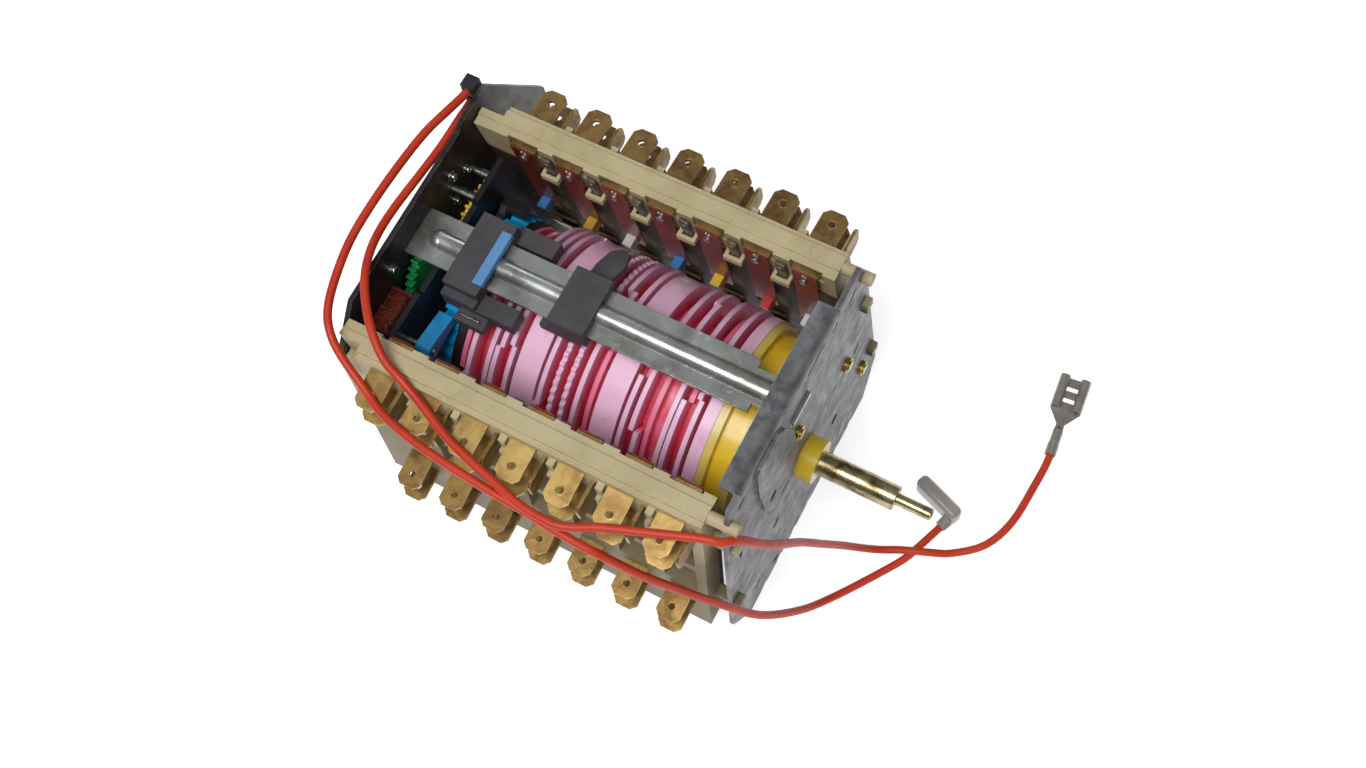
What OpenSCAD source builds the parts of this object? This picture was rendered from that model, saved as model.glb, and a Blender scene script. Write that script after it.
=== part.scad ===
// Cam-drum programme timer of a washing machine, open frame with blade terminals.
// Origin: on the drum axis, at the outer face of the front plate. +X points out along
// the control shaft, +Z points to the open side, +Y to the upper contact bank.
// All sizes are in millimetres.

/* [End plates] */
// Distance between the outer faces of the two end plates
span = 98.5; // [92:0.5:105]
// Thickness of the sheet steel of the plates and the tie bar
sheet_t = 1.2; // [1:0.1:1.4]
// Height of the plates above the shaft axis
top_h = 45; // [44:0.5:48]
// Depth of the plates below the shaft axis
foot_h = 40; // [38:0.5:44]
// Width of the plates along the top edge
crown_w = 60; // [58:1:62]
// Width of the plates below the top chamfer
shoulder_w = 66; // [64:1:68]
// Greatest width of the plates
girth_w = 78; // [76:1:82]
// Width of the plates along the bottom edge
foot_w = 64; // [56:1:68]
// Length of the front plate's flange, bent inward at the top
flange_l = 3.8; // [3:0.2:5]
// Height of the rear plate above the shaft axis
rear_h = 42; // [41:0.5:44]
// Reach of the rear plate's side wing beyond the drum axis
wing_reach = 52; // [48:1:56]

/* [Tie bar] */
// Width of the tie bar
bar_w = 12; // [10:0.5:14]
// Height of the bar's underside above the shaft axis
bar_z = 32.4; // [32:0.1:33.4]
// Width of the raised rib along the bar
rib_w = 5; // [4:0.5:6]
// Height of the raised rib
rib_h = 1.8; // [1.2:0.2:2.4]
// Width of the bar's end tongues
tongue_w = 8; // [6:0.5:9]

/* [Cam drum] */
// Radius over the cam rims
cam_r = 27; // [26:0.1:27]
// Radius of the groove floors between the rims
groove_r = 21.5; // [20:0.5:23]
// Number of cam tracks
track_count = 21; // [17:1:23]
// Width of one cam rim
rim_w = 1.2; // [1:0.1:1.4]
// Sideways step of a rim from one stretch to the next
rim_step = 0.75; // [0.5:0.05:0.9]
// Inner radius of the hollow drum
drum_bore_r = 17.5; // [15:0.5:18.5]
// Length of the yellow end cap
cap_l = 10; // [9:0.5:11]
// Radius over the end cap's rims
cap_r = 26.8; // [25:0.1:27]
// Radius of the end cap's groove
cap_groove_r = 24.6; // [22:0.1:25]

/* [Control shaft] */
// Diameter of the shaft
shaft_d = 6; // [5:0.1:6.4]
// Length of the shaft beyond the hub
shaft_l = 19.4; // [15:0.2:25]
// Diameter of the shaft's reduced tip
tip_d = 3; // [2:0.1:4]
// Length of the shaft's reduced tip
tip_l = 9; // [6:0.5:12]
// Diameter of the hub that turns in the front plate
hub_d = 11; // [9:0.5:13]
// Length of the hub beyond the front plate
hub_l = 4.4; // [3:0.2:6]

/* [Ratchet and gears] */
// Room for the gears between the rear plate and the drive wall
gear_room = 6.3; // [6.3:0.1:7]
// Thickness of the drive wall
wall_t = 1.5; // [1.2:0.1:1.8]
// Room for the drive lever between the wall and the ratchet wheel
lever_room = 3; // [2.8:0.1:3.4]
// Thickness of the ratchet wheel
wheel_t = 4.8; // [3:0.1:5]
// Radius over the ratchet teeth
wheel_r = 25; // [24:0.1:25]
// Number of ratchet teeth
wheel_teeth = 40; // [36:1:44]
// Thickness of the black disc between wheel and drum
disc_t = 2; // [1.5:0.1:2.5]
// Gear module
gear_m = 0.65; // [0.6:0.01:0.65]
// Teeth of the pinions
pinion_teeth = 12; // [12:1:13]
// Teeth of the green gear
green_teeth = 32; // [30:1:32]
// Teeth of the yellow gear
yellow_teeth = 40; // [38:1:40]

/* [Contact banks] */
// Number of contact columns in each bank
columns = 7; // [5:1:7]
// Distance from one column to the next
pitch = 12; // [11.6:0.1:12]
// Distance from the front plate's face to the last column
last_column = 12; // [11:0.2:13]
// Height of the banks' top face above the shaft axis
bank_top = 40; // [39:0.2:41]
// Depth of the banks' bottom face below the shaft axis
bank_foot = 26; // [24:0.5:28]
// Inner face of the banks at the top, from the shaft axis
bank_in = 27; // [26.6:0.1:27.6]
// Thickness of the banks' wall
bank_t = 7.3; // [6.8:0.1:7.8]
// Outward lean of the banks, millimetres per millimetre of height
bank_lean = 0.1066; // [0.09:0.002:0.12]
// Width of the contact leaves
leaf_w = 6; // [5:0.2:7]
// Thickness of the contact leaves
leaf_t = 0.4; // [0.3:0.05:0.5]

/* [Blade terminals] */
// Width of a blade terminal
blade_w = 6.3; // [4.8:0.1:6.3]
// Thickness of a blade terminal
blade_t = 0.8; // [0.5:0.1:0.8]
// Length of a blade outside its bank
blade_l = 8.6; // [7:0.2:10]
// Diameter of the hole in a blade
blade_hole_d = 1.7; // [1.2:0.1:2]

/* [Motor] */
// Diameter of the motor can behind the rear plate
motor_d = 30; // [28:1:32]
// Depth of the motor can
motor_l = 5.6; // [5.2:0.2:6.4]
// Length of the coil
coil_l = 11; // [10:0.5:12]

/* [Wires] */
// Diameter of the two wires
wire_d = 2; // [1.6:0.1:2]
// Length of the straight receptacle
receptacle_l = 24; // [20:0.5:26]
// Width of the straight receptacle's barrel
receptacle_w = 8; // [7.4:0.1:8.4]

/* [Hidden] */
$fn = 64;
TRUNK_NODES = ["front_plate", "rear_plate", "tie_bar", "saddle", "saddle_insert",
    "saddle_spring", "bar_clip", "drive_wall", "frame_posts", "gear_pins", "rear_bush",
    "motor_can", "motor_coil", "wire_box", "plate_rivets"];
BANK_NODES = ["upper_bank_frame", "lower_bank_frame", "upper_blades_1", "upper_blades_2",
    "upper_blades_3", "upper_blades_4", "lower_blades_1", "lower_blades_2",
    "lower_blades_3", "lower_blades_4", "upper_side_blades", "lower_side_blades",
    "upper_leaves", "lower_leaves",
    "upper_contacts", "lower_contacts", "yellow_followers", "white_followers",
    "blue_followers", "red_followers"];
MOVING_NODES = ["cam_drum", "drum_disc", "ratchet_wheel", "drum_cap", "control_shaft",
    "yellow_gear", "gear_arbor", "green_gear", "motor_pinion", "motor_rotor",
    "drive_pawl", "stop_pawl"];
CORD_NODES = ["wire_a", "wire_b", "flag_receptacle", "straight_receptacle"];

run_gap = 0.06;
part_gap = 0.3;
fit_gap = 0.1;

// Stations along the shaft axis, from the rear plate to the front plate
x_rear = -span;
x_rear_in = x_rear + sheet_t;
x_wall = x_rear_in + gear_room;
x_wheel = x_wall + wall_t + lever_room;
x_disc = x_wheel + wheel_t;
x_drum = x_disc + disc_t;
x_cap_end = -sheet_t - 5.3;
x_cap = x_cap_end - cap_l;
drum_l = x_cap - x_drum;
track_pitch = drum_l / track_count;
shaft_r = shaft_d / 2;
hub_r = hub_d / 2;
journal_r = shaft_r + 0.4;
bush_r = journal_r + 1.3;
bore_r = journal_r + 0.03;

// Banks
bank_x0 = x_rear_in + 0.3;
bank_x1 = -5;
function column_x(k) = -last_column - (columns - 1 - k) * pitch;
function bank_y(z) = bank_in + (bank_top - z) * bank_lean;
BLADE_Z = [37.3, 30, -7, -14.3];
leaf_top_y = bank_y(BLADE_Z[0]) - 1.2;
leaf_low_z = 6;
follower_h = 4;
leaf_foot_y = leaf_top_y + 2.8;
lug = [3, 3];
LUG_Z = [23, -12];
PEG_AT = [31.2, 38.4];
peg_r = 1.5;
side_blade_x = 5;
side_blade_z = [29.4, 36];

// Gear centres, in Y and Z
function toward(from, angle, distance) = from + distance * [cos(angle), sin(angle)];
function mesh_distance(a, b) = (a + b) * gear_m / 2;
YELLOW_AT = [14.2, 13.8];
GREEN_AT = toward(YELLOW_AT, 158.4, mesh_distance(pinion_teeth, yellow_teeth));
ROTOR_AT = toward(GREEN_AT, 235.8, mesh_distance(pinion_teeth, green_teeth));
gear_t = 2;
x_gear_a = x_rear_in + 0.6;
x_gear_b = x_wall - 0.6 - gear_t;
pin_r = 1;
arbor_r = 1.5;
eccentric_r = 2.2;
eccentric_throw = 1;
PAWL_PIVOT = [22, -1];
STOP_PIVOT = [-22, 24.5];
x_lever = x_wall + wall_t + 0.5;
lever_t = 1.8;

// Wire routes, from inside the terminal box to the receptacles
ROUTE_A = [[-100.2, 34.4, 44.2], [-100.2, 30.8, 44.2], [-101.3, 26, 44.4], [-103, 18, 45],
    [-103.8, 8, 45.5], [-104, -3, 46], [-103.6, -13, 46], [-101.8, -22.5, 45.5],
    [-99.6, -29, 44.8], [-96.6, -33, 43.8], [-92.6, -36, 41.6], [-85.5, -39.5, 38.6],
    [-79.5, -42.4, 38.1], [-71, -44.6, 38], [-62.5, -45.8, 38], [-54.5, -46.5, 37.8],
    [-46.8, -47, 37.5], [-39.2, -47.4, 37], [-33.5, -47.8, 36.3], [-26.8, -48, 34.8],
    [-22.2, -47.6, 32.6], [-15.4, -46.2, 24], [-8.3, -43.7, 14], [-0.8, -40.5, 2],
    [6.2, -36, -14], [12, -28, -29.5], [16.4, -20.6, -37.2], [22.9, -11, -39],
    [28.2, -3, -39], [30.3, 2, -39], [31.9, 6.2, -39], [33.6, 10.7, -39]];
ROUTE_B = [[-99.9, 34.4, 40], [-99.9, 31.5, 40], [-100.2, 26.8, 40], [-100.4, 17.5, 40],
    [-101.1, 8.4, 40.2], [-101.6, 0.8, 40.6], [-101, -6.2, 42], [-99.2, -12.3, 44],
    [-96.7, -18, 45], [-93.4, -23, 45], [-88.4, -28.5, 45], [-83, -32.8, 43.4],
    [-78.3, -34.6, 41.3], [-72.6, -36.8, 39.7], [-63.8, -40.8, 38.9], [-56, -43.2, 38.9],
    [-48.6, -45.1, 39], [-41, -47, 39.3], [-33, -47.3, 39.4], [-28.6, -45.9, 39.2],
    [-24, -43.5, 38.9], [-14, -39.8, 38.9], [-4.5, -36.4, 39.4], [0, -35, 39],
    [2.8, -32.2, 36], [5.6, -29.4, 28], [7.6, -25.2, 17], [9.4, -20, 4], [12, -15, -10],
    [14.8, -10.5, -22], [18, -6.8, -31.5], [22, -4, -36.2], [27, -1.4, -36.8],
    [33.6, 1.3, -37.3], [38.4, 4, -38.9], [44.8, 9.6, -39], [48.3, 18, -39],
    [49.4, 29.4, -39], [49.7, 36.5, -39], [49.2, 41.4, -39]];

// General helpers

// Extrudes a Y-Z profile along +X from x
module along_x(x, l) {
    translate([x, 0, 0]) rotate([90, 0, 90]) linear_extrude(l) children();
}

// Cylinder along +X
module rod_x(x, l, r, at = [0, 0]) {
    translate([x, at[0], at[1]]) rotate([0, 90, 0]) cylinder(r = r, h = l);
}

module block(x0, x1, y0, y1, z0, z1) {
    translate([x0, y0, z0]) cube([x1 - x0, y1 - y0, z1 - z0]);
}

// Places its children on the upper (+1) or the lower (-1) side
module on_side(side) {
    mirror([0, side < 0 ? 1 : 0, 0]) children();
}

module rounded_rect(w, h, r) {
    for (x = [r, w - r], y = [r, h - r]) translate([x, y]) circle(r, $fn = 24);
    translate([r, 0]) square([w - 2 * r, h]);
    translate([0, r]) square([w, h - 2 * r]);
}

// Tube of sides swept along route points, one ring at each point
function unit(v) = v / norm(v);
function heading(route, i) = unit(
    route[min(i + 1, len(route) - 1)] - route[max(i - 1, 0)]);
function ring(route, i, r, sides) =
    let (t = heading(route, i), a = unit(cross(t, abs(t[2]) > 0.9 ? [1, 0, 0] : [0, 0, 1])),
        b = cross(t, a))
    [for (s = [0 : sides - 1])
        route[i] + r * (cos(360 * s / sides) * a + sin(360 * s / sides) * b)];
module swept_tube(route, r, sides = 8) {
    n = len(route);
    points = [for (i = [0 : n - 1]) each ring(route, i, r, sides)];
    first = [for (s = [0 : sides - 1]) s];
    last = [for (s = [sides - 1 : -1 : 0]) (n - 1) * sides + s];
    walls = [for (i = [0 : n - 2], s = [0 : sides - 1])
        [i * sides + s, (i + 1) * sides + s, (i + 1) * sides + (s + 1) % sides,
            i * sides + (s + 1) % sides]];
    polyhedron(points, concat([first], walls, [last]), convexity = 10);
}

// End plates and tie bar

PLATE_OUTLINE = [[-crown_w / 2, top_h], [crown_w / 2, top_h],
    [shoulder_w / 2, top_h - 9], [girth_w / 2, -26], [foot_w / 2, -foot_h],
    [-foot_w / 2, -foot_h], [-girth_w / 2, -26], [-shoulder_w / 2, top_h - 9]];

module lug_slots() {
    for (side = [-1, 1], z = LUG_Z)
        translate([side * (bank_y(z) + bank_t / 2 - 0.9), z])
            square([lug[0] + 2 * fit_gap, lug[1] + 2 * fit_gap], center = true);
}

module tongue_slot() {
    translate([-tongue_w / 2 - fit_gap, bar_z - fit_gap])
        square([tongue_w + 2 * fit_gap, sheet_t + 2 * fit_gap]);
}

// Narrow slots of the front plate: centre, length, width and angle
FRONT_SLOTS = [[[25.8, 39], 4.4, 1.4, 25], [[17.2, 40], 2.8, 1.2, 18], [[8.6, 41.3], 8, 1, 4],
    [[27.5, 4.5], 3.1, 1.2, 16], [[30.6, -18], 3.6, 1.4, 41], [[14.8, 2.8], 6.3, 0.8, 28],
    [[-26, 39.6], 3, 1.4, 4], [[-30, 12], 3.6, 1.4, 84], [[-26.6, -29.4], 3.3, 1.4, 23],
    [[-15.3, -10.2], 3, 1.8, 23], [[-17.7, -35.6], 4, 1.4, -40], [[-10.6, 7.2], 4, 1.1, 7],
    [[4, -26], 3, 1.4, 0], [[18, -30], 3, 1.4, 20]];
// Raised pad beside the hub, pressed out of the front plate
PAD_OUTLINE = [[-20, 41], [-18.5, 42.3], [-10, 42.3], [-7.6, 40], [-4.4, 30], [-3.8, 17],
    [-6.4, 6], [-8.4, 4.2], [-12.6, 4], [-17, 7], [-19.4, 14], [-20.6, 30]];
pad_h = 0.9;

module slot_2d(l, w) {
    translate([-l / 2 + w / 2, 0]) circle(w / 2, $fn = 24);
    translate([l / 2 - w / 2, 0]) circle(w / 2, $fn = 24);
    square([l - w, w], center = true);
}

mount_hole_r = 1.6;
mount_pcd = 44;
mount_angle = 135.5;
RIVET_AT = [[22, 7.3], [30, -13.4], [-2, 21.7]];
rivet_r = 1.2;

// Flange bent inward along the front plate's top edge
module top_flange(x, inward, y0, y1) {
    bend = 2 * sheet_t;
    translate([x, y1, top_h]) mirror([inward < 0 ? 1 : 0, 0, 0]) rotate([90, 0, 0])
        linear_extrude(y1 - y0) difference() {
            translate([0, -bend]) square([sheet_t + flange_l, bend]);
            difference() {
                translate([-1, -bend]) square([bend + 1, bend + 1]);
                translate([bend, -bend]) circle(bend);
            }
            translate([bend, -bend]) circle(bend - sheet_t);
            translate([bend, -bend - 1]) square([flange_l, bend - sheet_t + 1]);
        }
}

module front_plate() {
    color("#9a9f9f") {
        difference() {
            along_x(-sheet_t, sheet_t) difference() {
                polygon(PLATE_OUTLINE);
                circle(hub_r + run_gap);
                tongue_slot();
                lug_slots();
                for (s = FRONT_SLOTS) translate(s[0]) rotate(s[3]) slot_2d(s[1], s[2]);
                for (a = [mount_angle, mount_angle + 180])
                    translate(mount_pcd / 2 * [cos(a), sin(a)]) circle(mount_hole_r);
                for (p = RIVET_AT) translate(p) circle(rivet_r + 0.02);
                for (y = [-24 : 8 : 24]) translate([y, -foot_h]) circle(1.2, $fn = 24);
                for (side = [-1, 1]) translate([side * PEG_AT[0], PEG_AT[1]])
                    circle(peg_r + fit_gap);
            }
            block(-sheet_t - 1, 1, -26.01, 19.51, top_h - 2 * sheet_t, top_h + 1);
        }
        along_x(-0.2, pad_h + 0.2) difference() {
            polygon(PAD_OUTLINE);
            translate(mount_pcd / 2 * [cos(mount_angle), sin(mount_angle)]) circle(mount_hole_r);
            translate([-10.6, 7.2]) rotate(7) slot_2d(4, 1.1);
        }
        top_flange(0, -1, -26, 19.5);
    }
}

REAR_OUTLINE = [[-girth_w / 2 + 15, rear_h], [crown_w / 2 - 8, rear_h],
    [crown_w / 2 - 6, rear_h + 1.5], [wing_reach - 17, rear_h + 1.5], [wing_reach, 17],
    [wing_reach, 6], [shoulder_w / 2 + 4, -8], [girth_w / 2, -26], [foot_w / 2, -foot_h],
    [-foot_w / 2, -foot_h], [-girth_w / 2, -26], [-shoulder_w / 2, top_h - 12]];
module rear_plate() {
    color("#8c9090") {
        along_x(x_rear, sheet_t) difference() {
            polygon(REAR_OUTLINE);
            circle(bush_r + 0.02);
            tongue_slot();
            lug_slots();
            translate(YELLOW_AT) circle(arbor_r + run_gap);
            translate(ROTOR_AT) circle(pin_r + run_gap);
            for (y = [-24 : 8 : 24]) translate([y, -foot_h]) circle(1.2, $fn = 24);
        }
    }
}

module tie_bar() {
    rib_r = rib_w / 2;
    x_rib = x_rear_in + 3.5;
    color("#a9b0b2") difference() {
        union() {
            block(x_rear_in, -12, -bar_w / 2, bar_w / 2, bar_z, bar_z + sheet_t);
            block(-12, -9.5, -bar_w / 2, tongue_w / 2, bar_z, bar_z + sheet_t);
            block(x_rear - 0.8, 0.8, -tongue_w / 2, tongue_w / 2, bar_z, bar_z + sheet_t);
            intersection() {
                union() {
                    translate([x_rib + rib_r, 0, bar_z + sheet_t]) scale([1, 1, rib_h / rib_r])
                        sphere(rib_r, $fn = 32);
                    translate([x_rib + rib_r, 0, bar_z + sheet_t]) rotate([90, 0, 90])
                        linear_extrude(-sheet_t - 0.2 - x_rib - rib_r) rib_arc(0);
                }
                block(x_rib - 1, 0, -rib_w, rib_w, bar_z + sheet_t / 2, bar_z + rib_h + 2);
            }
        }
        translate([x_rib + rib_r, 0, bar_z]) rotate([90, 0, 90])
            linear_extrude(-sheet_t - 3 - x_rib - rib_r) rib_arc(sheet_t);
    }
}

// Round back of the rib, made thinner by the sheet for its hollow underside
module rib_arc(inset) {
    arc_r = (rib_w * rib_w / 4 + rib_h * rib_h) / (2 * rib_h);
    intersection() {
        translate([0, rib_h - arc_r]) circle(arc_r - inset / 3);
        translate([-rib_w / 2 + inset / 2, -0.01]) square([rib_w - inset, rib_h + 1]);
    }
}

module plate_rivets() {
    color("#c8b25a") for (p = RIVET_AT) {
        rod_x(-sheet_t - 2, sheet_t + 2, rivet_r, p);
        rod_x(0, 1, 1.9, p);
        rod_x(1, 0.4, 1.4, p);
    }
}

module rear_bush() {
    color("#b59a55") difference() {
        union() {
            rod_x(x_rear, sheet_t, bush_r);
            rod_x(x_rear_in, 1, bush_r + 1.5);
        }
        rod_x(x_rear - 3, 8, journal_r + run_gap);
    }
}

// Pieces on the tie bar

saddle_x0 = x_wall + 6.7;
saddle_l = 9;
saddle_w = 19;
saddle_top = bar_z + sheet_t + rib_h + 1.2;
arm_l = 9.4;
module saddle() {
    color("#3a393c") difference() {
        union() {
            block(saddle_x0, saddle_x0 + saddle_l, -saddle_w / 2, saddle_w / 2, 30.2, saddle_top);
            for (side = [-1, 1]) on_side(side)
                block(saddle_x0 + saddle_l - 1, saddle_x0 + saddle_l + arm_l,
                    bar_w / 2 + 1, saddle_w / 2 + 2, 28.6, 32.6);
            on_side(-1)
                block(saddle_x0, saddle_x0 + saddle_l, bar_w / 2 + 1, saddle_w / 2 + 2, 28.6, 34);
            on_side(-1)
                block(saddle_x0 + 4.4, saddle_x0 + 12, saddle_w / 2 + 1, saddle_w / 2 + 5,
                    27.6, 30.4);
        }
        block(saddle_x0 - 1, saddle_x0 + saddle_l + 1, -bar_w / 2 - fit_gap,
            bar_w / 2 + fit_gap, 29, bar_z + sheet_t + fit_gap);
        block(saddle_x0 - 1, saddle_x0 + saddle_l + 1, -rib_w / 2 - fit_gap,
            rib_w / 2 + fit_gap, 30, bar_z + sheet_t + rib_h + fit_gap);
        block(saddle_x0 + saddle_l - 2.5, saddle_x0 + saddle_l + 1, -7, 7,
            bar_z + sheet_t + rib_h - 0.4, saddle_top + 1);
        on_side(-1) block(saddle_x0 + 5.2, saddle_x0 + 10.6, saddle_w / 2 + 3,
            saddle_w / 2 + 3.8, 30, 31);
    }
}

module saddle_insert() {
    color("#5f97cc") block(saddle_x0 + saddle_l - 2.5, saddle_x0 + saddle_l, -7, 7,
        bar_z + sheet_t + rib_h + fit_gap, saddle_top + 0.5);
}

module saddle_spring() {
    color("#c4c6c8") translate([saddle_x0 + 5.4, -saddle_w / 2 - 3.4, 30.4])
        rotate([0, 90, 0]) cylinder(r = 0.4, h = 5, $fn = 16);
}

clip_x0 = x_drum + 21.2;
clip_l = 9.2;
clip_w = 14.4;
clip_foot = 29.6;
module bar_clip() {
    color("#3a393c") difference() {
        union() {
            block(clip_x0, clip_x0 + clip_l, -clip_w / 2, clip_w / 2, clip_foot,
                bar_z + sheet_t + rib_h + 1);
            on_side(-1) block(clip_x0 - 3, clip_x0 + clip_l - 2, clip_w / 2 - 2, clip_w / 2,
                clip_foot - 1.5, clip_foot + 1);
        }
        block(clip_x0 - 4, clip_x0 + clip_l + 4, -bar_w / 2 - fit_gap,
            bar_w / 2 + fit_gap, bar_z - fit_gap, bar_z + sheet_t + fit_gap);
        block(clip_x0 - 4, clip_x0 + clip_l + 4, -rib_w / 2 - fit_gap,
            rib_w / 2 + fit_gap, bar_z, bar_z + sheet_t + rib_h + fit_gap);
        block(clip_x0 - 4, clip_x0 + clip_l + 4, -bar_w / 2 + 2, bar_w / 2 - 2,
            clip_foot - 5, bar_z + 0.5);
    }
}

// Cam drum

// Each track is a rim made of a few stretches, stepped sideways from one to the next
function stretches(i) = 3 + (i * 5) % 3;
function stretch_start(i, k) =
    let (n = stretches(i)) 360 * k / n + 13 * ((i * 3 + (k % n) * 7) % 5) + 23 * i;
function stretch_shift(i, k) = ((i + 2 * (k % stretches(i))) % 3 - 1) * rim_step;
function stretch_drop(i, k) = (i * 2 + (k % stretches(i)) * 3) % 7 == 0 ? 3 : 0;
WIDE_TRACKS = [5, 6, 12, 13, 20];
BEADED_TRACKS = [8, 9];
function is_in(i, list) = len(search(i, list)) > 0;

module rim_stretch(i, k) {
    x = x_drum + (i + 0.5) * track_pitch + stretch_shift(i, k) - rim_w / 2;
    a0 = stretch_start(i, k);
    a1 = stretch_start(i, k + 1);
    reach = cam_r + 10;
    along_x(x, rim_w) intersection() {
        circle(cam_r - stretch_drop(i, k));
        polygon(concat([[0, 0]],
            [for (s = [0 : 4]) let (a = a0 + (a1 - a0) * s / 4) reach * [cos(a), sin(a)]]));
    }
}

module beaded_rim(i) {
    beads = 72;
    along_x(x_drum + (i + 0.5) * track_pitch - rim_w / 2, rim_w)
        polygon([for (b = [0 : beads - 1], h = [0 : 3])
            let (a = (b + [0, 0.25, 0.5, 0.75][h]) * 360 / beads,
                r = cam_r - [0, 0, 0.5, 0.5][h])
            [r * cos(a), r * sin(a)]]);
}

module cam_drum() {
    color("#e79ac4") difference() {
        union() {
            rod_x(x_drum, drum_l, groove_r);
            for (i = [0 : track_count - 1])
                if (is_in(i, WIDE_TRACKS))
                    rod_x(x_drum + i * track_pitch, track_pitch, cam_r - 0.4);
                else if (is_in(i, BEADED_TRACKS))
                    beaded_rim(i);
                else
                    for (k = [0 : stretches(i) - 1]) rim_stretch(i, k);
        }
        difference() {
            rod_x(x_drum + 3, drum_l, drum_bore_r);
            rod_x(x_drum, drum_l + 1, bore_r + 3);
            for (a = [0, 60, 120]) rotate([a, 0, 0])
                block(x_drum, x_cap + 1, -drum_bore_r - 1, drum_bore_r + 1, -0.8, 0.8);
        }
        rod_x(x_drum - 1, drum_l + 2, bore_r);
    }
}

module drum_disc() {
    color("#2c2b2e") difference() {
        rod_x(x_disc, disc_t, cam_r - 2.5);
        rod_x(x_disc - 1, disc_t + 2, bore_r);
    }
}

module ratchet_wheel() {
    tooth = 360 / wheel_teeth;
    depth = 2;
    color("#0e93c8") difference() {
        along_x(x_wheel, wheel_t) difference() {
            polygon([for (i = [0 : wheel_teeth - 1], h = [0 : 2])
                let (a = (i + [0, 0.55, 0.9][h]) * tooth, r = wheel_r - [depth, 0, 0.2][h])
                [r * cos(a), r * sin(a)]]);
            circle(bore_r);
        }
        difference() {
            rod_x(x_wheel - 1, wheel_t - 0.5, wheel_r - 5);
            rod_x(x_wheel - 2, wheel_t + 2, shaft_r + 4);
        }
    }
}

module drum_cap() {
    rim_t = 2;
    color("#e3bf3c") difference() {
        union() {
            rod_x(x_cap, cap_l, cap_groove_r - 2);
            rod_x(x_cap, rim_t, cap_r - 0.4);
            rod_x(x_cap, cap_l - 3, cap_groove_r);
            rod_x(x_cap_end - 3, 1.6, cap_r);
            rod_x(x_cap_end - 1.4, 1.4, cap_r - 4);
            rod_x(x_cap_end, hub_l - x_cap_end, hub_r);
        }
        rod_x(x_cap - 1, cap_l + hub_l + 20, bore_r);
        difference() {
            rod_x(x_cap_end - 6, 7, cap_groove_r - 5);
            rod_x(x_cap_end - 8, 12, hub_r + 2);
            for (a = [0, 60, 120]) rotate([a, 0, 0])
                block(x_cap, x_cap_end, -cap_r, cap_r, -0.8, 0.8);
        }
    }
}

module control_shaft() {
    x_end = hub_l + shaft_l;
    color("#a08a4a") {
        rod_x(x_rear + 0.2, hub_l - x_rear - 0.2, journal_r);
        rod_x(hub_l, shaft_l, shaft_r);
        rod_x(x_end, tip_l - 0.4, tip_d / 2);
        translate([x_end + tip_l - 0.4, 0, 0]) rotate([0, 90, 0])
            cylinder(r1 = tip_d / 2, r2 = tip_d / 2 - 0.4, h = 0.4);
    }
}

// Gear train

function involute(base_r, t) = base_r * [cos(t) + t * PI / 180 * sin(t),
    sin(t) - t * PI / 180 * cos(t)];
function turn(p, a) = [p[0] * cos(a) - p[1] * sin(a), p[0] * sin(a) + p[1] * cos(a)];
function inv_angle(base_r, r) = sqrt(max(0, (r / base_r) * (r / base_r) - 1)) * 180 / PI;
function flank(teeth, r) =
    let (base_r = gear_m * teeth / 2 * cos(20), rr = max(r, base_r),
        p = involute(base_r, inv_angle(base_r, rr)))
    r < base_r ? unit(p) * r : p;
module gear_2d(teeth) {
    backlash = 0.12;
    pitch_r = gear_m * teeth / 2;
    tip_r = pitch_r + 0.9 * gear_m;
    root_r = pitch_r - 1.25 * gear_m;
    steps = 4;
    at_pitch = flank(teeth, pitch_r);
    half = 90 / teeth - backlash / pitch_r * 90 / PI + atan2(at_pitch[1], at_pitch[0]);
    side = [for (s = [0 : steps]) flank(teeth, root_r + (tip_r - root_r) * s / steps)];
    polygon([for (i = [0 : teeth - 1], s = [0 : 2 * steps + 1])
        let (up = s <= steps, p = up ? side[s] : side[2 * steps + 1 - s],
            q = up ? turn(p, -half) : turn([p[0], -p[1]], half))
        turn(q, i * 360 / teeth)]);
}

// Turns of the gears at rest that bring their teeth into mesh
function mesh_turn(from_at, from_teeth, from_turn, to_at, to_teeth) =
    let (v = to_at - from_at, a = atan2(v[1], v[0]))
    a + 180 + 180 / to_teeth - (from_turn - a) * from_teeth / to_teeth;
yellow_turn = 0;
pinion_turn = mesh_turn(YELLOW_AT, yellow_teeth, yellow_turn, GREEN_AT, pinion_teeth);
rotor_turn = mesh_turn(GREEN_AT, green_teeth, pinion_turn, ROTOR_AT, pinion_teeth);

module gear_wheel(x, at, teeth, turned, bore_r) {
    translate([x, at[0], at[1]]) rotate([90, 0, 90]) linear_extrude(gear_t) difference() {
        rotate(turned) gear_2d(teeth);
        circle(bore_r, $fn = 32);
    }
}

module yellow_gear() {
    color("#d9b428") gear_wheel(x_gear_b, YELLOW_AT, yellow_teeth, yellow_turn, arbor_r + 0.02);
}

module gear_arbor() {
    color("#b5b8ba") {
        rod_x(x_rear - 0.8, x_lever - x_rear + 0.8, arbor_r, YELLOW_AT);
        rod_x(x_lever, lever_t, eccentric_r, YELLOW_AT + [eccentric_throw, 0]);
    }
}

module green_gear() {
    color("#1f9a55") difference() {
        union() {
            gear_wheel(x_gear_a, GREEN_AT, green_teeth, pinion_turn, pin_r + run_gap);
            gear_wheel(x_gear_b, GREEN_AT, pinion_teeth, pinion_turn, pin_r + run_gap);
            rod_x(x_gear_a, x_gear_b - x_gear_a + 0.2, 2.6, GREEN_AT);
        }
        rod_x(x_gear_a - 1, 10, pin_r + run_gap, GREEN_AT);
    }
}

module motor_pinion() {
    color("#d8d4c8") gear_wheel(x_gear_a, ROTOR_AT, pinion_teeth, rotor_turn, pin_r + 0.02);
}

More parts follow.
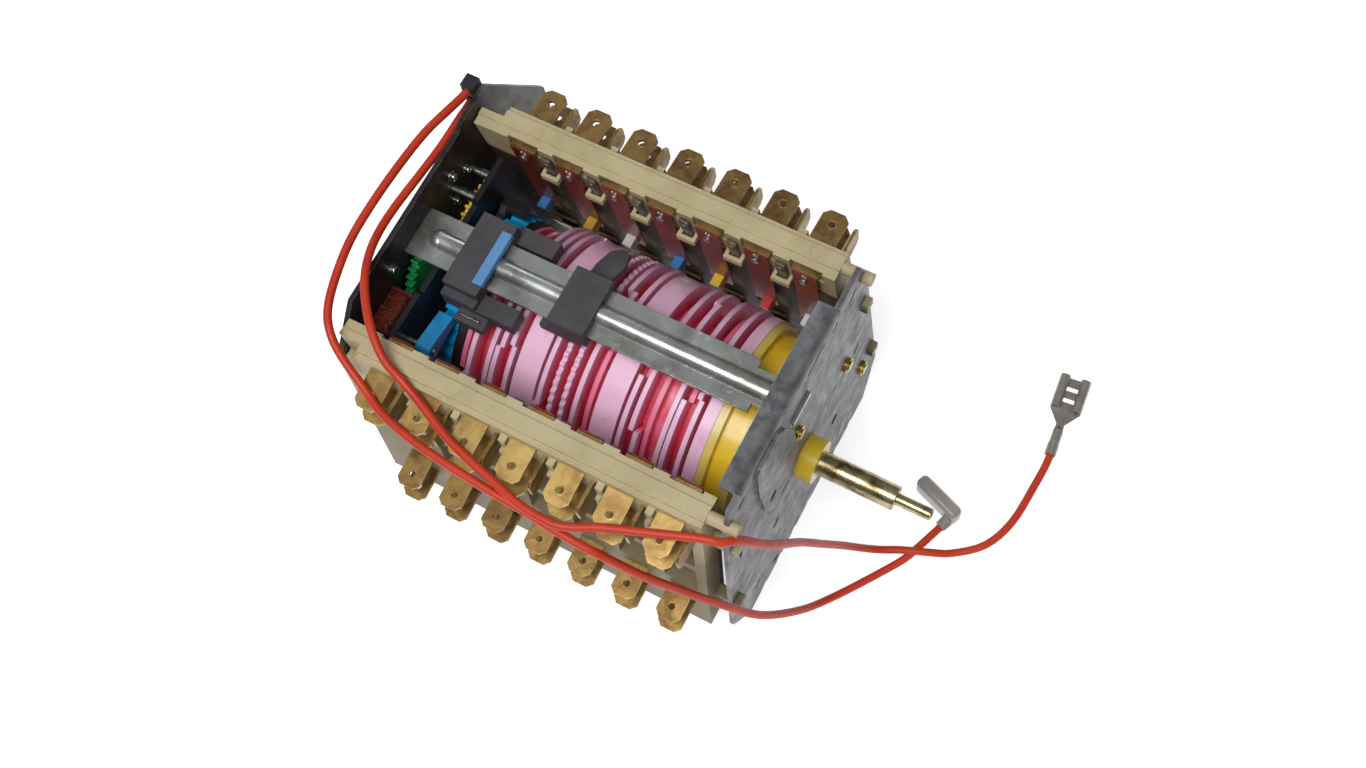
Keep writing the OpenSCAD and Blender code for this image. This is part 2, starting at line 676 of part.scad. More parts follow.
module motor_rotor() {
    color("#55585a") {
        rod_x(x_rear - 1, x_wall - 0.5 - x_rear + 1, pin_r, ROTOR_AT);
        rod_x(x_rear - 1 - 3.2, 3.2, motor_d / 2 - 5, ROTOR_AT);
    }
}

module motor_can() {
    wall = 0.7;
    r = motor_d / 2;
    color("#9fa4a6") difference() {
        union() {
            rod_x(x_rear - motor_l, motor_l, r, ROTOR_AT);
            translate([x_rear - 0.8, ROTOR_AT[0], ROTOR_AT[1]]) rotate([90, 0, 90])
                linear_extrude(0.8) for (side = [-1, 1])
                    translate([side * (r + 1) - 3, -3]) rounded_rect(6, 6, 2);
        }
        rod_x(x_rear - motor_l + wall, motor_l, r - wall, ROTOR_AT);
    }
}

coil_y = -24.4;
coil_z = [15.5, 29.5];
module motor_coil() {
    flange = 0.9;
    x0 = x_rear_in;
    x1 = x_wall - 0.8;
    color("#7a3327") {
        for (y = [coil_y, coil_y + coil_l - flange])
            block(x0, x1, y, y + flange, coil_z[0], coil_z[1]);
        block(x0, x1 - 0.9, coil_y, coil_y + coil_l, coil_z[0] + 0.9, coil_z[1] - 0.9);
        for (i = [1 : 3])
            block(x0, x1 - 0.4, coil_y + i * coil_l / 4 - 0.3, coil_y + i * coil_l / 4 + 0.3,
                coil_z[0] + 0.4, coil_z[1] - 0.4);
    }
}

module drive_wall() {
    color("#26272e") difference() {
        along_x(x_wall, wall_t) difference() {
            polygon([[-26.5, 20], [-25, 31], [-13, 31], [-12, 29.8], [12, 29.8], [13, 31],
                [25, 31], [26.5, 20], [29, -20], [22, -31], [-22, -31], [-29, -20]]);
            circle(journal_r + part_gap);
            translate(YELLOW_AT) circle(arbor_r + run_gap);
        }
    }
}

POST_AT = [[14, 29.3], [21, 27.5], [-22, 12], [0, -22], [24, -12], [-24, -14]];
module frame_posts() {
    color("#c9ccce") for (p = POST_AT) rod_x(x_rear_in, gear_room, 1.3, p);
}

module gear_pins() {
    color("#c9ccce") {
        rod_x(x_rear_in, gear_room, pin_r, GREEN_AT);
        for (p = [PAWL_PIVOT, STOP_PIVOT])
            rod_x(x_wall + wall_t, lever_room + (p == STOP_PIVOT ? wheel_t : -0.4), pin_r, p);
    }
}

// Lever with a ring about the eccentric and a finger over the ratchet teeth
finger_r = wheel_r + 0.5;
module drive_pawl() {
    ring_r = 6.2;
    window_r = 4.6;
    finger_at = [18.9, 19.2];
    color("#c7c2b0") {
        along_x(x_lever, lever_t) difference() {
            union() {
                translate(YELLOW_AT) circle(ring_r);
                translate(PAWL_PIVOT) circle(2.6);
                polygon([PAWL_PIVOT + [-2, -0.6], PAWL_PIVOT + [2, 0.6],
                    YELLOW_AT + [5, 0], YELLOW_AT + [-2, -4.8]]);
                polygon([YELLOW_AT + [1, 5], YELLOW_AT + [5, 2], finger_at + [2.2, 0.4],
                    finger_at + [-0.6, 1.6]]);
            }
            translate(YELLOW_AT) circle(window_r);
            translate(PAWL_PIVOT) circle(pin_r + run_gap);
        }
        intersection() {
            along_x(x_lever + lever_t, x_wheel + wheel_t - 0.5 - x_lever - lever_t) difference() {
                polygon([finger_at + [-1.4, 0.4], finger_at + [1.2, -1.4],
                    finger_at + [2.2, 0.4], finger_at + [-0.6, 1.6]]);
                circle(finger_r);
            }
            block(x_wall, x_disc, 0, 40, 0, 40);
        }
    }
}

// Hooked pawl that keeps the wheel from turning back, lifted clear of the teeth
module stop_pawl() {
    color("#1f9ad2") along_x(x_wheel + 0.5, wheel_t - 1) difference() {
        polygon(concat([for (a = [75 : 15 : 285]) STOP_PIVOT + 2.4 * [cos(a), sin(a)]],
            [[-15.5, 22.6], [-13.3, 21.9], [-13, 25.2]]));
        translate(STOP_PIVOT) circle(pin_r + run_gap);
    }
}

// Terminal box and motor wires

module wire_box() {
    x0 = x_rear - 3.3;
    color("#2b2b2d") difference() {
        union() {
            block(x0, x_rear, 16, 35, 30, 38.9);
            block(x0, x_rear, 31.6, 35, 34, 45.8);
        }
        for (route = [ROUTE_A, ROUTE_B])
            translate([route[0][0], route[0][1] + fit_gap, route[0][2]]) rotate([90, 0, 0])
                cylinder(r = wire_d / 2 + run_gap, h = 6);
    }
}

module wire_a() { color("#d93c20") swept_tube(ROUTE_A, wire_d / 2); }
module wire_b() { color("#d93c20") swept_tube(ROUTE_B, wire_d / 2); }

// Places its children at a route's end, with +X along the wire
module at_end(route) {
    n = len(route);
    t = route[n - 1] - route[n - 2];
    translate(route[n - 1]) rotate([0, 0, atan2(t[1], t[0])]) children();
}

// Uninsulated receptacle with rolled sides, a window strip and two crimps
module straight_receptacle() {
    tin = 0.4;
    w = receptacle_w;
    crimp_l = 5;
    barrel_l = 9;
    x_barrel = receptacle_l - crimp_l + 3 - 3 - barrel_l;
    roll_r = 1.3;
    floor_z = -wire_d / 2;
    color("#9a958c") at_end(ROUTE_B) difference() {
        union() {
            translate([-3, 0, 0]) rotate([0, 90, 0]) cylinder(r = 1.45, h = 3);
            translate([0, 0, floor_z + 1.3]) rotate([0, 90, 0]) cylinder(r = 1.3, h = 4);
            translate([0, 0, floor_z]) linear_extrude(tin)
                polygon([[-3, -1.2], [4, -1.2], [6, -1], [x_barrel, -w / 2], [x_barrel, w / 2],
                    [6, 1], [4, 1.2], [-3, 1.2]]);
            block(x_barrel, x_barrel + barrel_l, -w / 2, w / 2, floor_z, floor_z + tin);
            for (side = [-1, 1]) on_side(side)
                translate([x_barrel, w / 2 - roll_r, floor_z + roll_r]) rotate([0, 90, 0])
                    rotate([0, 0, 0]) difference() {
                        cylinder(r = roll_r, h = barrel_l, $fn = 32);
                        translate([0, 0, -1]) cylinder(r = roll_r - tin, h = barrel_l + 2,
                            $fn = 32);
                        translate([-0.4, -roll_r - 1, -1]) cube([0.8, roll_r + 1, barrel_l + 2]);
                    }
        }
        translate([-4, 0, 0]) rotate([0, 90, 0]) cylinder(r = wire_d / 2 + run_gap, h = 4);
        for (x = [2.2, 5.4]) block(x_barrel + x, x_barrel + x + 1.2, -2.4, 2.4, -2, 0);
        block(-5, 40, -10, 10, floor_z - 2, floor_z);
    }
}

// Insulated flag receptacle: the wire enters its side, near one end
module flag_receptacle() {
    color("#b9b4ae") at_end(ROUTE_A) difference() {
        union() {
            translate([0, -1.8, -wire_d / 2]) cube([4, 13.5, 7.6]);
            translate([-2.2, -1.6, -wire_d / 2]) cube([2.2, 3.2, 3]);
        }
        translate([-3, 0, 0]) rotate([0, 90, 0]) cylinder(r = wire_d / 2 + run_gap, h = 3);
        translate([1, 4, 0.2]) cube([2, 9, 5.4]);
    }
}

// Contact banks

module bank_section() {
    foot = -bank_foot;
    polygon([[bank_in, bank_top], [bank_in + bank_t, bank_top],
        [bank_y(foot) + bank_t, foot], [bank_y(foot), foot]]);
}

// U-shaped bracket between two leaves, open to the bank
module bracket(x) {
    w = pitch - leaf_w - 1.4;
    z0 = BLADE_Z[1] - 2;
    y0 = bank_y(z0);
    difference() {
        block(x - w / 2, x + w / 2, y0 - 2.6, y0 + 1, z0, z0 + 1.8);
        block(x - w / 2 + 0.9, x + w / 2 - 0.9, y0 - 1.7, y0 - 0.1, z0 - 1, z0 + 3);
    }
}

// Small pad on the bank's outer face beside each side blade
module outer_pad(x) {
    block(x - 0.8, x + 0.9, bank_in + bank_t - 1, bank_in + bank_t + 2, 31, 37.4);
    block(x - 0.8, x + 0.3, bank_in + bank_t - 1, bank_in + bank_t + 3.2, 31, 33);
}

// Blades that stand on edge between the columns
module side_blades(side) {
    y0 = bank_in + bank_t - 3.6;
    y1 = bank_in + bank_t + blade_l - 0.6;
    z0 = side_blade_z[0];
    z1 = side_blade_z[1];
    on_side(side) color("#c2a155") for (k = [0 : columns - 1])
        along_x(column_x(k) + side_blade_x - blade_t / 2, blade_t)
            polygon([[y0, z0], [y1 - 1.2, z0], [y1, z0 + 1.2], [y1, z1 - 1.2], [y1 - 1.2, z1],
                [y0, z1]]);
}

module bank_frame(side) {
    window_w = pitch - 3.4;
    on_side(side) color("#beb28c") {
        difference() {
            along_x(bank_x0, bank_x1 - bank_x0) bank_section();
            for (k = [0 : columns - 1]) {
                x = column_x(k);
                block(x - window_w / 2, x + window_w / 2, 20, 50, 12, 26);
                block(x - window_w / 2, x + window_w / 2, 20, 50, -3.5, 9);
                for (z = BLADE_Z)
                    block(x - blade_w / 2 - fit_gap, x + blade_w / 2 + fit_gap, 20, 50,
                        z - blade_t / 2 - fit_gap, z + blade_t / 2 + fit_gap);
                block(x - leaf_w / 2 - 1, x + leaf_w / 2 + 1, 20, bank_in + 1.4,
                    BLADE_Z[0] - 3, bank_top - 1.1);
                block(x - leaf_w / 2 - 1, x + leaf_w / 2 + 1, 20, bank_in + 0.7,
                    BLADE_Z[0] - 3, bank_top + 1);
                block(x + side_blade_x - blade_t / 2 - fit_gap,
                    x + side_blade_x + blade_t / 2 + fit_gap, bank_in + bank_t - 3.6, 50,
                    side_blade_z[0] - fit_gap, side_blade_z[1] + fit_gap);
            }
            block(bank_x0 - 1, bank_x1 + 1, 20, bank_in + 2.4, bank_top - 0.5, bank_top + 1);
            block(bank_x0 - 1, column_x(0) - 7.2, bank_in + 4.2, 50, 31, bank_top + 1);
            block(bank_x0 - 1, bank_x1 + 1, bank_in + bank_t - 1.2, 50, bank_top - 0.8,
                bank_top + 1);
        }
        for (k = [0 : columns - 2]) bracket(column_x(k) + pitch / 2);
        for (k = [0 : columns - 2]) outer_pad(column_x(k) + pitch / 2 + 1.2);
        along_x(bank_x1 - 2, 4.2 - bank_x1) translate(PEG_AT) circle(peg_r);
        for (z = LUG_Z) {
            y = bank_y(z) + bank_t / 2 - 0.9;
            block(x_rear - 1.5, bank_x0 + 1, y - lug[0] / 2, y + lug[0] / 2,
                z - lug[1] / 2, z + lug[1] / 2);
            block(bank_x1 - 1, 1.5, y - lug[0] / 2, y + lug[0] / 2,
                z - lug[1] / 2, z + lug[1] / 2);
        }
    }
}

module blade_outline() {
    nose = 1.4;
    difference() {
        polygon([[0, -blade_w / 2], [blade_l - nose, -blade_w / 2],
            [blade_l, -blade_w / 2 + nose], [blade_l, blade_w / 2 - nose],
            [blade_l - nose, blade_w / 2], [0, blade_w / 2]]);
        translate([blade_l * 0.6, 0]) circle(blade_hole_d / 2, $fn = 32);
    }
}

droop = 6;
module blades(side, level) {
    z = BLADE_Z[level];
    y_out = bank_y(z) + bank_t + 0.2;
    y_in = level == 0 ? leaf_y(z - blade_t / 2) + leaf_t + 0.01 : bank_y(z) - 0.6;
    on_side(side) color("#c2a155") for (k = [0 : columns - 1]) {
        x = column_x(k);
        block(x - blade_w / 2, x + blade_w / 2, y_in, y_out, z - blade_t / 2, z + blade_t / 2);
        translate([x, y_out - 0.1, z]) rotate([-droop, 0, 0]) rotate([0, 0, 90])
            translate([0, 0, -blade_t / 2]) linear_extrude(blade_t) blade_outline();
    }
}

// Slope of the long leaves from their blade down to the follower
leaf_fall = BLADE_Z[0] + 0.6 - leaf_low_z;
function leaf_y(z) = leaf_top_y + (leaf_foot_y - leaf_top_y) * (BLADE_Z[0] + 0.6 - z) / leaf_fall;
module leaves(side) {
    top = BLADE_Z[0] + 0.6;
    low_y = bank_y(BLADE_Z[3]) - 0.6;
    on_side(side) color("#7d3322") for (k = [0 : columns - 1]) {
        x = column_x(k) - leaf_w / 2;
        along_x(x, leaf_w) polygon([[leaf_y(top), top], [leaf_y(top) + leaf_t, top],
            [leaf_y(leaf_low_z) + leaf_t, leaf_low_z], [leaf_y(leaf_low_z), leaf_low_z]]);
        along_x(x, leaf_w) polygon([[low_y, -15], [low_y - leaf_t, -15], [low_y - leaf_t, -13.6],
            [low_y - 2.4 - leaf_t, -5], [low_y - 2.4, -5], [low_y, -13.6]]);
    }
}

rivet_z = 34.6;
module contacts(side) {
    on_side(side) color("#c9cbcc") for (k = [0 : columns - 1]) {
        x = column_x(k);
        translate([x, leaf_y(rivet_z + 1), rivet_z]) rotate([90, 0, 0])
            cylinder(r = 1, h = 0.6, $fn = 24);
        translate([x, bank_y(BLADE_Z[1]) - 0.6, BLADE_Z[1]]) rotate([90, 0, 0])
            cylinder(r = blade_t / 2, h = 0.2, $fn = 24);
    }
}

// Cam followers between the leaves and the rims, one colour for each group of columns
module followers(columns_used) {
    z0 = leaf_low_z;
    z1 = leaf_low_z + follower_h;
    for (side = [-1, 1]) on_side(side) for (k = columns_used)
        if (k < columns) along_x(column_x(k) - 1.5 + (k % 2) * 1.2, 2.4)
            polygon([[sqrt(pow(cam_r + part_gap, 2) - z0 * z0), z0], [leaf_y(z0), z0],
                [leaf_y(z1), z1], [sqrt(pow(cam_r + part_gap, 2) - z1 * z1) + 0.05, z1]]);
}
module yellow_followers() { color("#e0b93a") followers([1, 4]); }
module white_followers() { color("#e6e4de") followers([2, 6]); }
module blue_followers() { color("#2c8fc4") followers([0, 3]); }
module red_followers() { color("#c8352c") followers([5]); }

front_plate();
rear_plate();
tie_bar();
saddle();
saddle_insert();
saddle_spring();
bar_clip();
drive_wall();
frame_posts();
gear_pins();
rear_bush();
motor_can();
motor_coil();
wire_box();
plate_rivets();
bank_frame(1);  // upper_bank_frame
bank_frame(-1);  // lower_bank_frame
blades(1, 0);  // upper_blades_1
blades(1, 1);  // upper_blades_2
blades(1, 2);  // upper_blades_3
blades(1, 3);  // upper_blades_4
blades(-1, 0);  // lower_blades_1
blades(-1, 1);  // lower_blades_2
blades(-1, 2);  // lower_blades_3
blades(-1, 3);  // lower_blades_4
side_blades(1);  // upper_side_blades
side_blades(-1);  // lower_side_blades
leaves(1);  // upper_leaves
leaves(-1);  // lower_leaves
contacts(1);  // upper_contacts
contacts(-1);  // lower_contacts
yellow_followers();
white_followers();
blue_followers();
red_followers();
cam_drum();
drum_disc();
ratchet_wheel();
drum_cap();
control_shaft();
yellow_gear();
gear_arbor();
green_gear();
motor_pinion();
motor_rotor();
drive_pawl();
stop_pawl();
wire_a();
wire_b();
flag_receptacle();
straight_receptacle();
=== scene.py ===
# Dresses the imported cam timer: camera, wires, floor and lamps, then finishes and small pieces.
# Lengths of the timer are in millimetres until MM takes them to metres. Camera, floor and lamps are
# in metres. X runs out along the control shaft, Y to the upper contact bank and Z to the open side.
import math

import bmesh
import bpy
from mathutils import Matrix, Vector


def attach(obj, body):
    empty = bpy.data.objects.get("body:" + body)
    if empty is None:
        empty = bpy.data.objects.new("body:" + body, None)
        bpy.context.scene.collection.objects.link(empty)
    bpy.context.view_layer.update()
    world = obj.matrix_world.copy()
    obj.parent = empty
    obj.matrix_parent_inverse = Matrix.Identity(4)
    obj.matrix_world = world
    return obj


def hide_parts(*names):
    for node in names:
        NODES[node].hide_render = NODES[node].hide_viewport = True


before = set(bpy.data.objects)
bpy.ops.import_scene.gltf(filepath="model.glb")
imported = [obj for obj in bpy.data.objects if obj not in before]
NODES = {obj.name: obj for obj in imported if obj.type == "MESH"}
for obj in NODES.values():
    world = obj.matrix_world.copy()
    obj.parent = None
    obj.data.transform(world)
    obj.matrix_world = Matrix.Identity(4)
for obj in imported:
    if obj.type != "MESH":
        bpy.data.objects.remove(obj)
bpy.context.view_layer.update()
MM = 0.001


# --- Sizes and places that the part's source gives ---

FLOOR_Z = -40.0
WIRE_D = 2.0
REAR_PLATE_X = -97.3  # inner face of the rear plate
CAN_BACK_X = -104.1
CAN_AXIS = (-9.55101, 8.19405)  # Y and Z
COLUMNS = 7
COLUMN_PITCH = 12.0
LAST_COLUMN_X = -12.0
BANK_IN = 27.0  # the bank's inner face at its top
BANK_TOP = 40.0
BANK_LEAN = 0.1066
LEAF_TOP_Z = 37.9
LEAF_TOP_Y = 26.0878
LEAF_RUN = 31.9  # height over which a leaf leans out by LEAF_OUT
LEAF_OUT = 2.8
SIDES = ((1, "upper"), (-1, "lower"))

ROUTE_A = [
    (-100.2, 34.4, 44.2), (-100.2, 30.8, 44.2), (-101.3, 26, 44.4), (-103, 18, 45),
    (-103.8, 8, 45.5), (-104, -3, 46), (-103.6, -13, 46), (-101.8, -22.5, 45.5),
    (-99.6, -29, 44.8), (-96.6, -33, 43.8), (-92.6, -36, 41.6), (-85.5, -39.5, 38.6),
    (-79.5, -42.4, 38.1), (-71, -44.6, 38), (-62.5, -45.8, 38), (-54.5, -46.5, 37.8),
    (-46.8, -47, 37.5), (-39.2, -47.4, 37), (-33.5, -47.8, 36.3), (-26.8, -48, 34.8),
    (-22.2, -47.6, 32.6), (-15.4, -46.2, 24), (-8.3, -43.7, 14), (-0.8, -40.5, 2),
    (6.2, -36, -14), (12, -28, -29.5), (16.4, -20.6, -37.2), (22.9, -11, -39),
    (28.2, -3, -39), (30.3, 2, -39), (31.9, 6.2, -39), (33.6, 10.7, -39)]
ROUTE_B = [
    (-99.9, 34.4, 40), (-99.9, 31.5, 40), (-100.2, 26.8, 40), (-100.4, 17.5, 40),
    (-101.1, 8.4, 40.2), (-101.6, 0.8, 40.6), (-101, -6.2, 42), (-99.2, -12.3, 44),
    (-96.7, -18, 45), (-93.4, -23, 45), (-88.4, -28.5, 45), (-83, -32.8, 43.4),
    (-78.3, -34.6, 41.3), (-72.6, -36.8, 39.7), (-63.8, -40.8, 38.9), (-56, -43.2, 38.9),
    (-48.6, -45.1, 39), (-41, -47, 39.3), (-33, -47.3, 39.4), (-28.6, -45.9, 39.2),
    (-24, -43.5, 38.9), (-14, -39.8, 38.9), (-4.5, -36.4, 39.4), (0, -35, 39),
    (2.8, -32.2, 36), (5.6, -29.4, 28), (7.6, -25.2, 17), (9.4, -20, 4), (12, -15, -10),
    (14.8, -10.5, -22), (18, -6.8, -31.5), (22, -4, -36.2), (27, -1.4, -36.8),
    (33.6, 1.3, -37.3), (38.4, 4, -38.9), (44.8, 9.6, -39), (48.3, 18, -39),
    (49.4, 29.4, -39), (49.7, 36.5, -39), (49.2, 41.4, -39)]


def column_x(k):
    return LAST_COLUMN_X - (COLUMNS - 1 - k) * COLUMN_PITCH


def bank_y(z):
    return BANK_IN + (BANK_TOP - z) * BANK_LEAN


def leaf_y(z):
    return LEAF_TOP_Y + LEAF_OUT * (LEAF_TOP_Z - z) / LEAF_RUN


def link(obj):
    bpy.context.scene.collection.objects.link(obj)
    return obj


# --- Camera, at the photograph's viewing angle ---

LENS = 41.553
CAMERA_PLACE = Matrix((
    (0.87686815, -0.41266541, 0.24659583, 0.0592),
    (0.47050616, 0.84193810, -0.26412913, -0.0965),
    (-0.09862147, 0.34763126, 0.93243033, 0.3513),
    (0, 0, 0, 1)))


def make_camera():
    data = bpy.data.cameras.new("camera")
    data.sensor_width = 36.0
    data.lens = LENS
    data.clip_start = 0.01
    data.clip_end = 20.0
    camera = link(bpy.data.objects.new("camera", data))
    camera.matrix_world = CAMERA_PLACE
    bpy.context.scene.camera = camera


# --- Wires ---

POINT_RADIUS = WIRE_D / 2 * MM  # the wire's own, because a curve's bounds count it
BEVEL_DEPTH = 1.0  # times the points' radius
STEPS_PER_POINT = 4


def smooth_route(route):
    """Points of a smooth curve through the route's points, in metres."""
    pts = [Vector(p) * MM for p in route]
    out = []
    for i in range(len(pts) - 1):
        p0, p1 = pts[max(i - 1, 0)], pts[i]
        p2, p3 = pts[i + 1], pts[min(i + 2, len(pts) - 1)]
        for s in range(STEPS_PER_POINT):
            t = s / STEPS_PER_POINT
            a = 2 * p1 + (p2 - p0) * t + (2 * p0 - 5 * p1 + 4 * p2 - p3) * t * t
            out.append(0.5 * (a + (3 * p1 - p0 - 3 * p2 + p3) * t ** 3))
    out.append(pts[-1])
    for p in out:
        p.z = max(p.z, (FLOOR_Z + WIRE_D / 2) * MM)
    return out


def insulated_wire(name, route, node, on_it, mat):
    line = smooth_route(route)
    curve = bpy.data.curves.new(name, "CURVE")
    curve.dimensions = "3D"
    curve.bevel_depth = BEVEL_DEPTH
    curve.bevel_resolution = 4
    curve.use_fill_caps = True
    curve.materials.append(mat)
    spline = curve.splines.new("POLY")
    spline.points.add(len(line) - 1)
    for point, p in zip(spline.points, line):
        point.co = (*p, 1)
        point.radius = POINT_RADIUS
    spline.use_smooth = True
    wire = link(bpy.data.objects.new(name, curve))
    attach(wire, "chassis")
    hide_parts(node)


# --- Helpers for shader nodes ---

def feed(tree, socket, value):
    """Sets a socket to a value, or links another node's output to it."""
    if isinstance(value, bpy.types.NodeSocket):
        tree.links.new(value, socket)
    else:
        socket.default_value = value


def math_node(tree, operation, *values):
    node = tree.nodes.new("ShaderNodeMath")
    node.operation = operation
    for socket, value in zip(node.inputs, values):
        feed(tree, socket, value)
    return node.outputs[0]


def ramp_node(tree, value, low=0.0, high=1.0, result=(0.0, 1.0)):
    """Goes from one result to the other as the value goes from low to high."""
    node = tree.nodes.new("ShaderNodeMapRange")
    for label, what in [("Value", value), ("From Min", low), ("From Max", high),
                        ("To Min", result[0]), ("To Max", result[1])]:
        feed(tree, node.inputs[label], what)
    return node.outputs[0]


def noise_node(tree, place, scale, **settings):
    node = tree.nodes.new("ShaderNodeTexNoise")
    feed(tree, node.inputs["Vector"], place)
    feed(tree, node.inputs["Scale"], scale)
    for label, value in settings.items():
        feed(tree, node.inputs[label], value)
    return node.outputs["Fac"]


def bevel_node(tree, samples, radius):
    node = tree.nodes.new("ShaderNodeBevel")
    node.samples = samples
    feed(tree, node.inputs["Radius"], radius)
    return node.outputs[0]


def new_material(name):
    mat = bpy.data.materials.new(name)
    mat.use_nodes = True
    mat.node_tree.nodes.clear()
    return mat, mat.node_tree


def srgb(r, g, b):
    def one(c):
        c = c / 255
        return c / 12.92 if c <= 0.04045 else ((c + 0.055) / 1.055) ** 2.4
    return (one(r), one(g), one(b), 1)


# --- Floor, room and lamps ---

FLOOR_HALF = 3.0
FLOOR_GAP = 0.05  # millimetres, like FLOOR_Z
FLOOR_WHITE = (0.93, 0.93, 0.93, 1)
FLOOR_GLOW = 0.62
WHITE = (1, 1, 1, 1)
ROOM_LOW = (0.25, 0.25, 0.26, 1)
ROOM_HIGH = (0.92, 0.93, 0.95, 1)
ROOM_HIGH_AT = 0.85
ROOM_STRENGTH = 0.27
LAMP_AIM = Vector((-0.045, 0.0, 0.0))
LAMPS = [  # name, place, size and power in watts
    ("key softbox", (-0.06, -0.3, 0.8), 0.4, 4.4),
    ("fill softbox", (0.5, -0.5, 0.5), 0.4, 0.8),
    ("back strip", (-0.5, 0.6, 0.45), 0.3, 0.5)]


def floor_material():
    """Diffuse white that also glows for all rays but diffuse ones, so that it renders white."""
    mat, tree = new_material("pale floor")
    out = tree.nodes.new("ShaderNodeOutputMaterial")
    diffuse = tree.nodes.new("ShaderNodeBsdfDiffuse")
    diffuse.inputs["Color"].default_value = FLOOR_WHITE
    glow = tree.nodes.new("ShaderNodeEmission")
    glow.inputs["Color"].default_value = WHITE
    both = tree.nodes.new("ShaderNodeAddShader")
    ray = tree.nodes.new("ShaderNodeLightPath").outputs
    seen = math_node(tree, "ADD", ray["Is Camera Ray"], ray["Is Glossy Ray"])
    seen = math_node(tree, "ADD", seen, ray["Is Transmission Ray"])
    feed(tree, glow.inputs["Strength"], math_node(tree, "MULTIPLY", seen, FLOOR_GLOW))
    tree.links.new(diffuse.outputs[0], both.inputs[0])
    tree.links.new(glow.outputs[0], both.inputs[1])
    tree.links.new(both.outputs[0], out.inputs["Surface"])
    return mat


def make_floor():
    bm = bmesh.new()
    bmesh.ops.create_grid(bm, x_segments=2, y_segments=2, size=FLOOR_HALF)
    mesh = bpy.data.meshes.new("floor")
    bm.to_mesh(mesh)
    bm.free()
    mesh.materials.append(floor_material())
    floor = link(bpy.data.objects.new("floor", mesh))
    floor.location = (0, 0, (FLOOR_Z - FLOOR_GAP) * MM)


def make_room():
    """Soft light from above, behind a backdrop that only the camera sees."""
    world = bpy.data.worlds.new("studio")
    bpy.context.scene.world = world
    world.use_nodes = True
    tree = world.node_tree
    tree.nodes.clear()
    out = tree.nodes.new("ShaderNodeOutputWorld")
    split = tree.nodes.new("ShaderNodeSeparateXYZ")
    coords = tree.nodes.new("ShaderNodeTexCoord")
    ramp = tree.nodes.new("ShaderNodeValToRGB")
    low, high = ramp.color_ramp.elements
    low.position, low.color = 0.0, ROOM_LOW
    high.position, high.color = ROOM_HIGH_AT, ROOM_HIGH
    room = tree.nodes.new("ShaderNodeBackground")
    room.inputs["Strength"].default_value = ROOM_STRENGTH
    backdrop = tree.nodes.new("ShaderNodeBackground")
    backdrop.inputs["Color"].default_value = WHITE
    backdrop.inputs["Strength"].default_value = 1.0
    path = tree.nodes.new("ShaderNodeLightPath")
    mix = tree.nodes.new("ShaderNodeMixShader")
    tree.links.new(coords.outputs["Generated"], split.inputs[0])
    tree.links.new(split.outputs["Z"], ramp.inputs[0])
    tree.links.new(ramp.outputs[0], room.inputs["Color"])
    tree.links.new(path.outputs["Is Camera Ray"], mix.inputs[0])
    tree.links.new(room.outputs[0], mix.inputs[1])
    tree.links.new(backdrop.outputs[0], mix.inputs[2])
    tree.links.new(mix.outputs[0], out.inputs["Surface"])


def make_lamps():
    for name, place, size, power in LAMPS:
        data = bpy.data.lights.new(name, "AREA")
        data.shape = "SQUARE"
        data.size = size
        data.energy = power
        lamp = link(bpy.data.objects.new(name, data))
        lamp.location = place
        lamp.rotation_euler = (LAMP_AIM - Vector(place)).to_track_quat("-Z", "Y").to_euler()


# --- Shared effects ---

def effect(name, inputs, output):
    """Node group with a place among its inputs and one number as its result."""
    group = bpy.data.node_groups.new(name, "ShaderNodeTree")
    for label, kind, value in [("Place", "NodeSocketVector", None)] + inputs:
        sock = group.interface.new_socket(label, in_out="INPUT", socket_type=kind)
        if value is not None:
            sock.default_value = value
    group.interface.new_socket(output, in_out="OUTPUT", socket_type="NodeSocketFloat")
    into = group.nodes.new("NodeGroupInput").outputs
    return group, into, group.nodes.new("NodeGroupOutput").inputs[output]


def build_blotches():
    """Slow and fine variation in one mask, as on plated or grimy sheet."""
    group, into, mask = effect("blotches", [
        ("Size", "NodeSocketFloat", 120.0), ("Low", "NodeSocketFloat", 0.35),
        ("High", "NodeSocketFloat", 0.7)], "Mask")
    noise = noise_node(group, into["Place"], into["Size"],
                       Detail=6.0, Roughness=0.62, Distortion=0.6)
    feed(group, mask, ramp_node(group, noise, into["Low"], into["High"]))
    return group


def build_grain():
    """Fine tooth of a moulded or plated surface, stretched along one direction if asked."""
    group, into, height = effect("grain", [
        ("Stretch", "NodeSocketVector", (1.0, 1.0, 1.0)), ("Size", "NodeSocketFloat", 1500.0)],
        "Height")
    stretched = group.nodes.new("ShaderNodeVectorMath")
    stretched.operation = "MULTIPLY"
    feed(group, stretched.inputs[0], into["Place"])
    feed(group, stretched.inputs[1], into["Stretch"])
    feed(group, height, noise_node(group, stretched.outputs[0], into["Size"], Detail=3.0))
    return group


def build_worn_edges():
    """Mask of the edges, where a rounded normal leaves the face's own, broken up by noise."""
    group, into, mask = effect("worn edges", [
        ("Reach", "NodeSocketFloat", 0.00035), ("Size", "NodeSocketFloat", 400.0)], "Mask")
    turn = group.nodes.new("ShaderNodeVectorMath")
    turn.operation = "DOT_PRODUCT"
    feed(group, turn.inputs[0], group.nodes.new("ShaderNodeNewGeometry").outputs["Normal"])
    feed(group, turn.inputs[1], bevel_node(group, 4, into["Reach"]))
    worn = ramp_node(group, turn.outputs["Value"], 0.995, 0.88)
    noise = noise_node(group, into["Place"], into["Size"], Detail=4.0)
    feed(group, mask, math_node(group, "MULTIPLY", worn, ramp_node(group, noise, 0.35, 0.6)))
    return group


BLOTCHES = build_blotches()
GRAIN = build_grain()
WORN_EDGES = build_worn_edges()


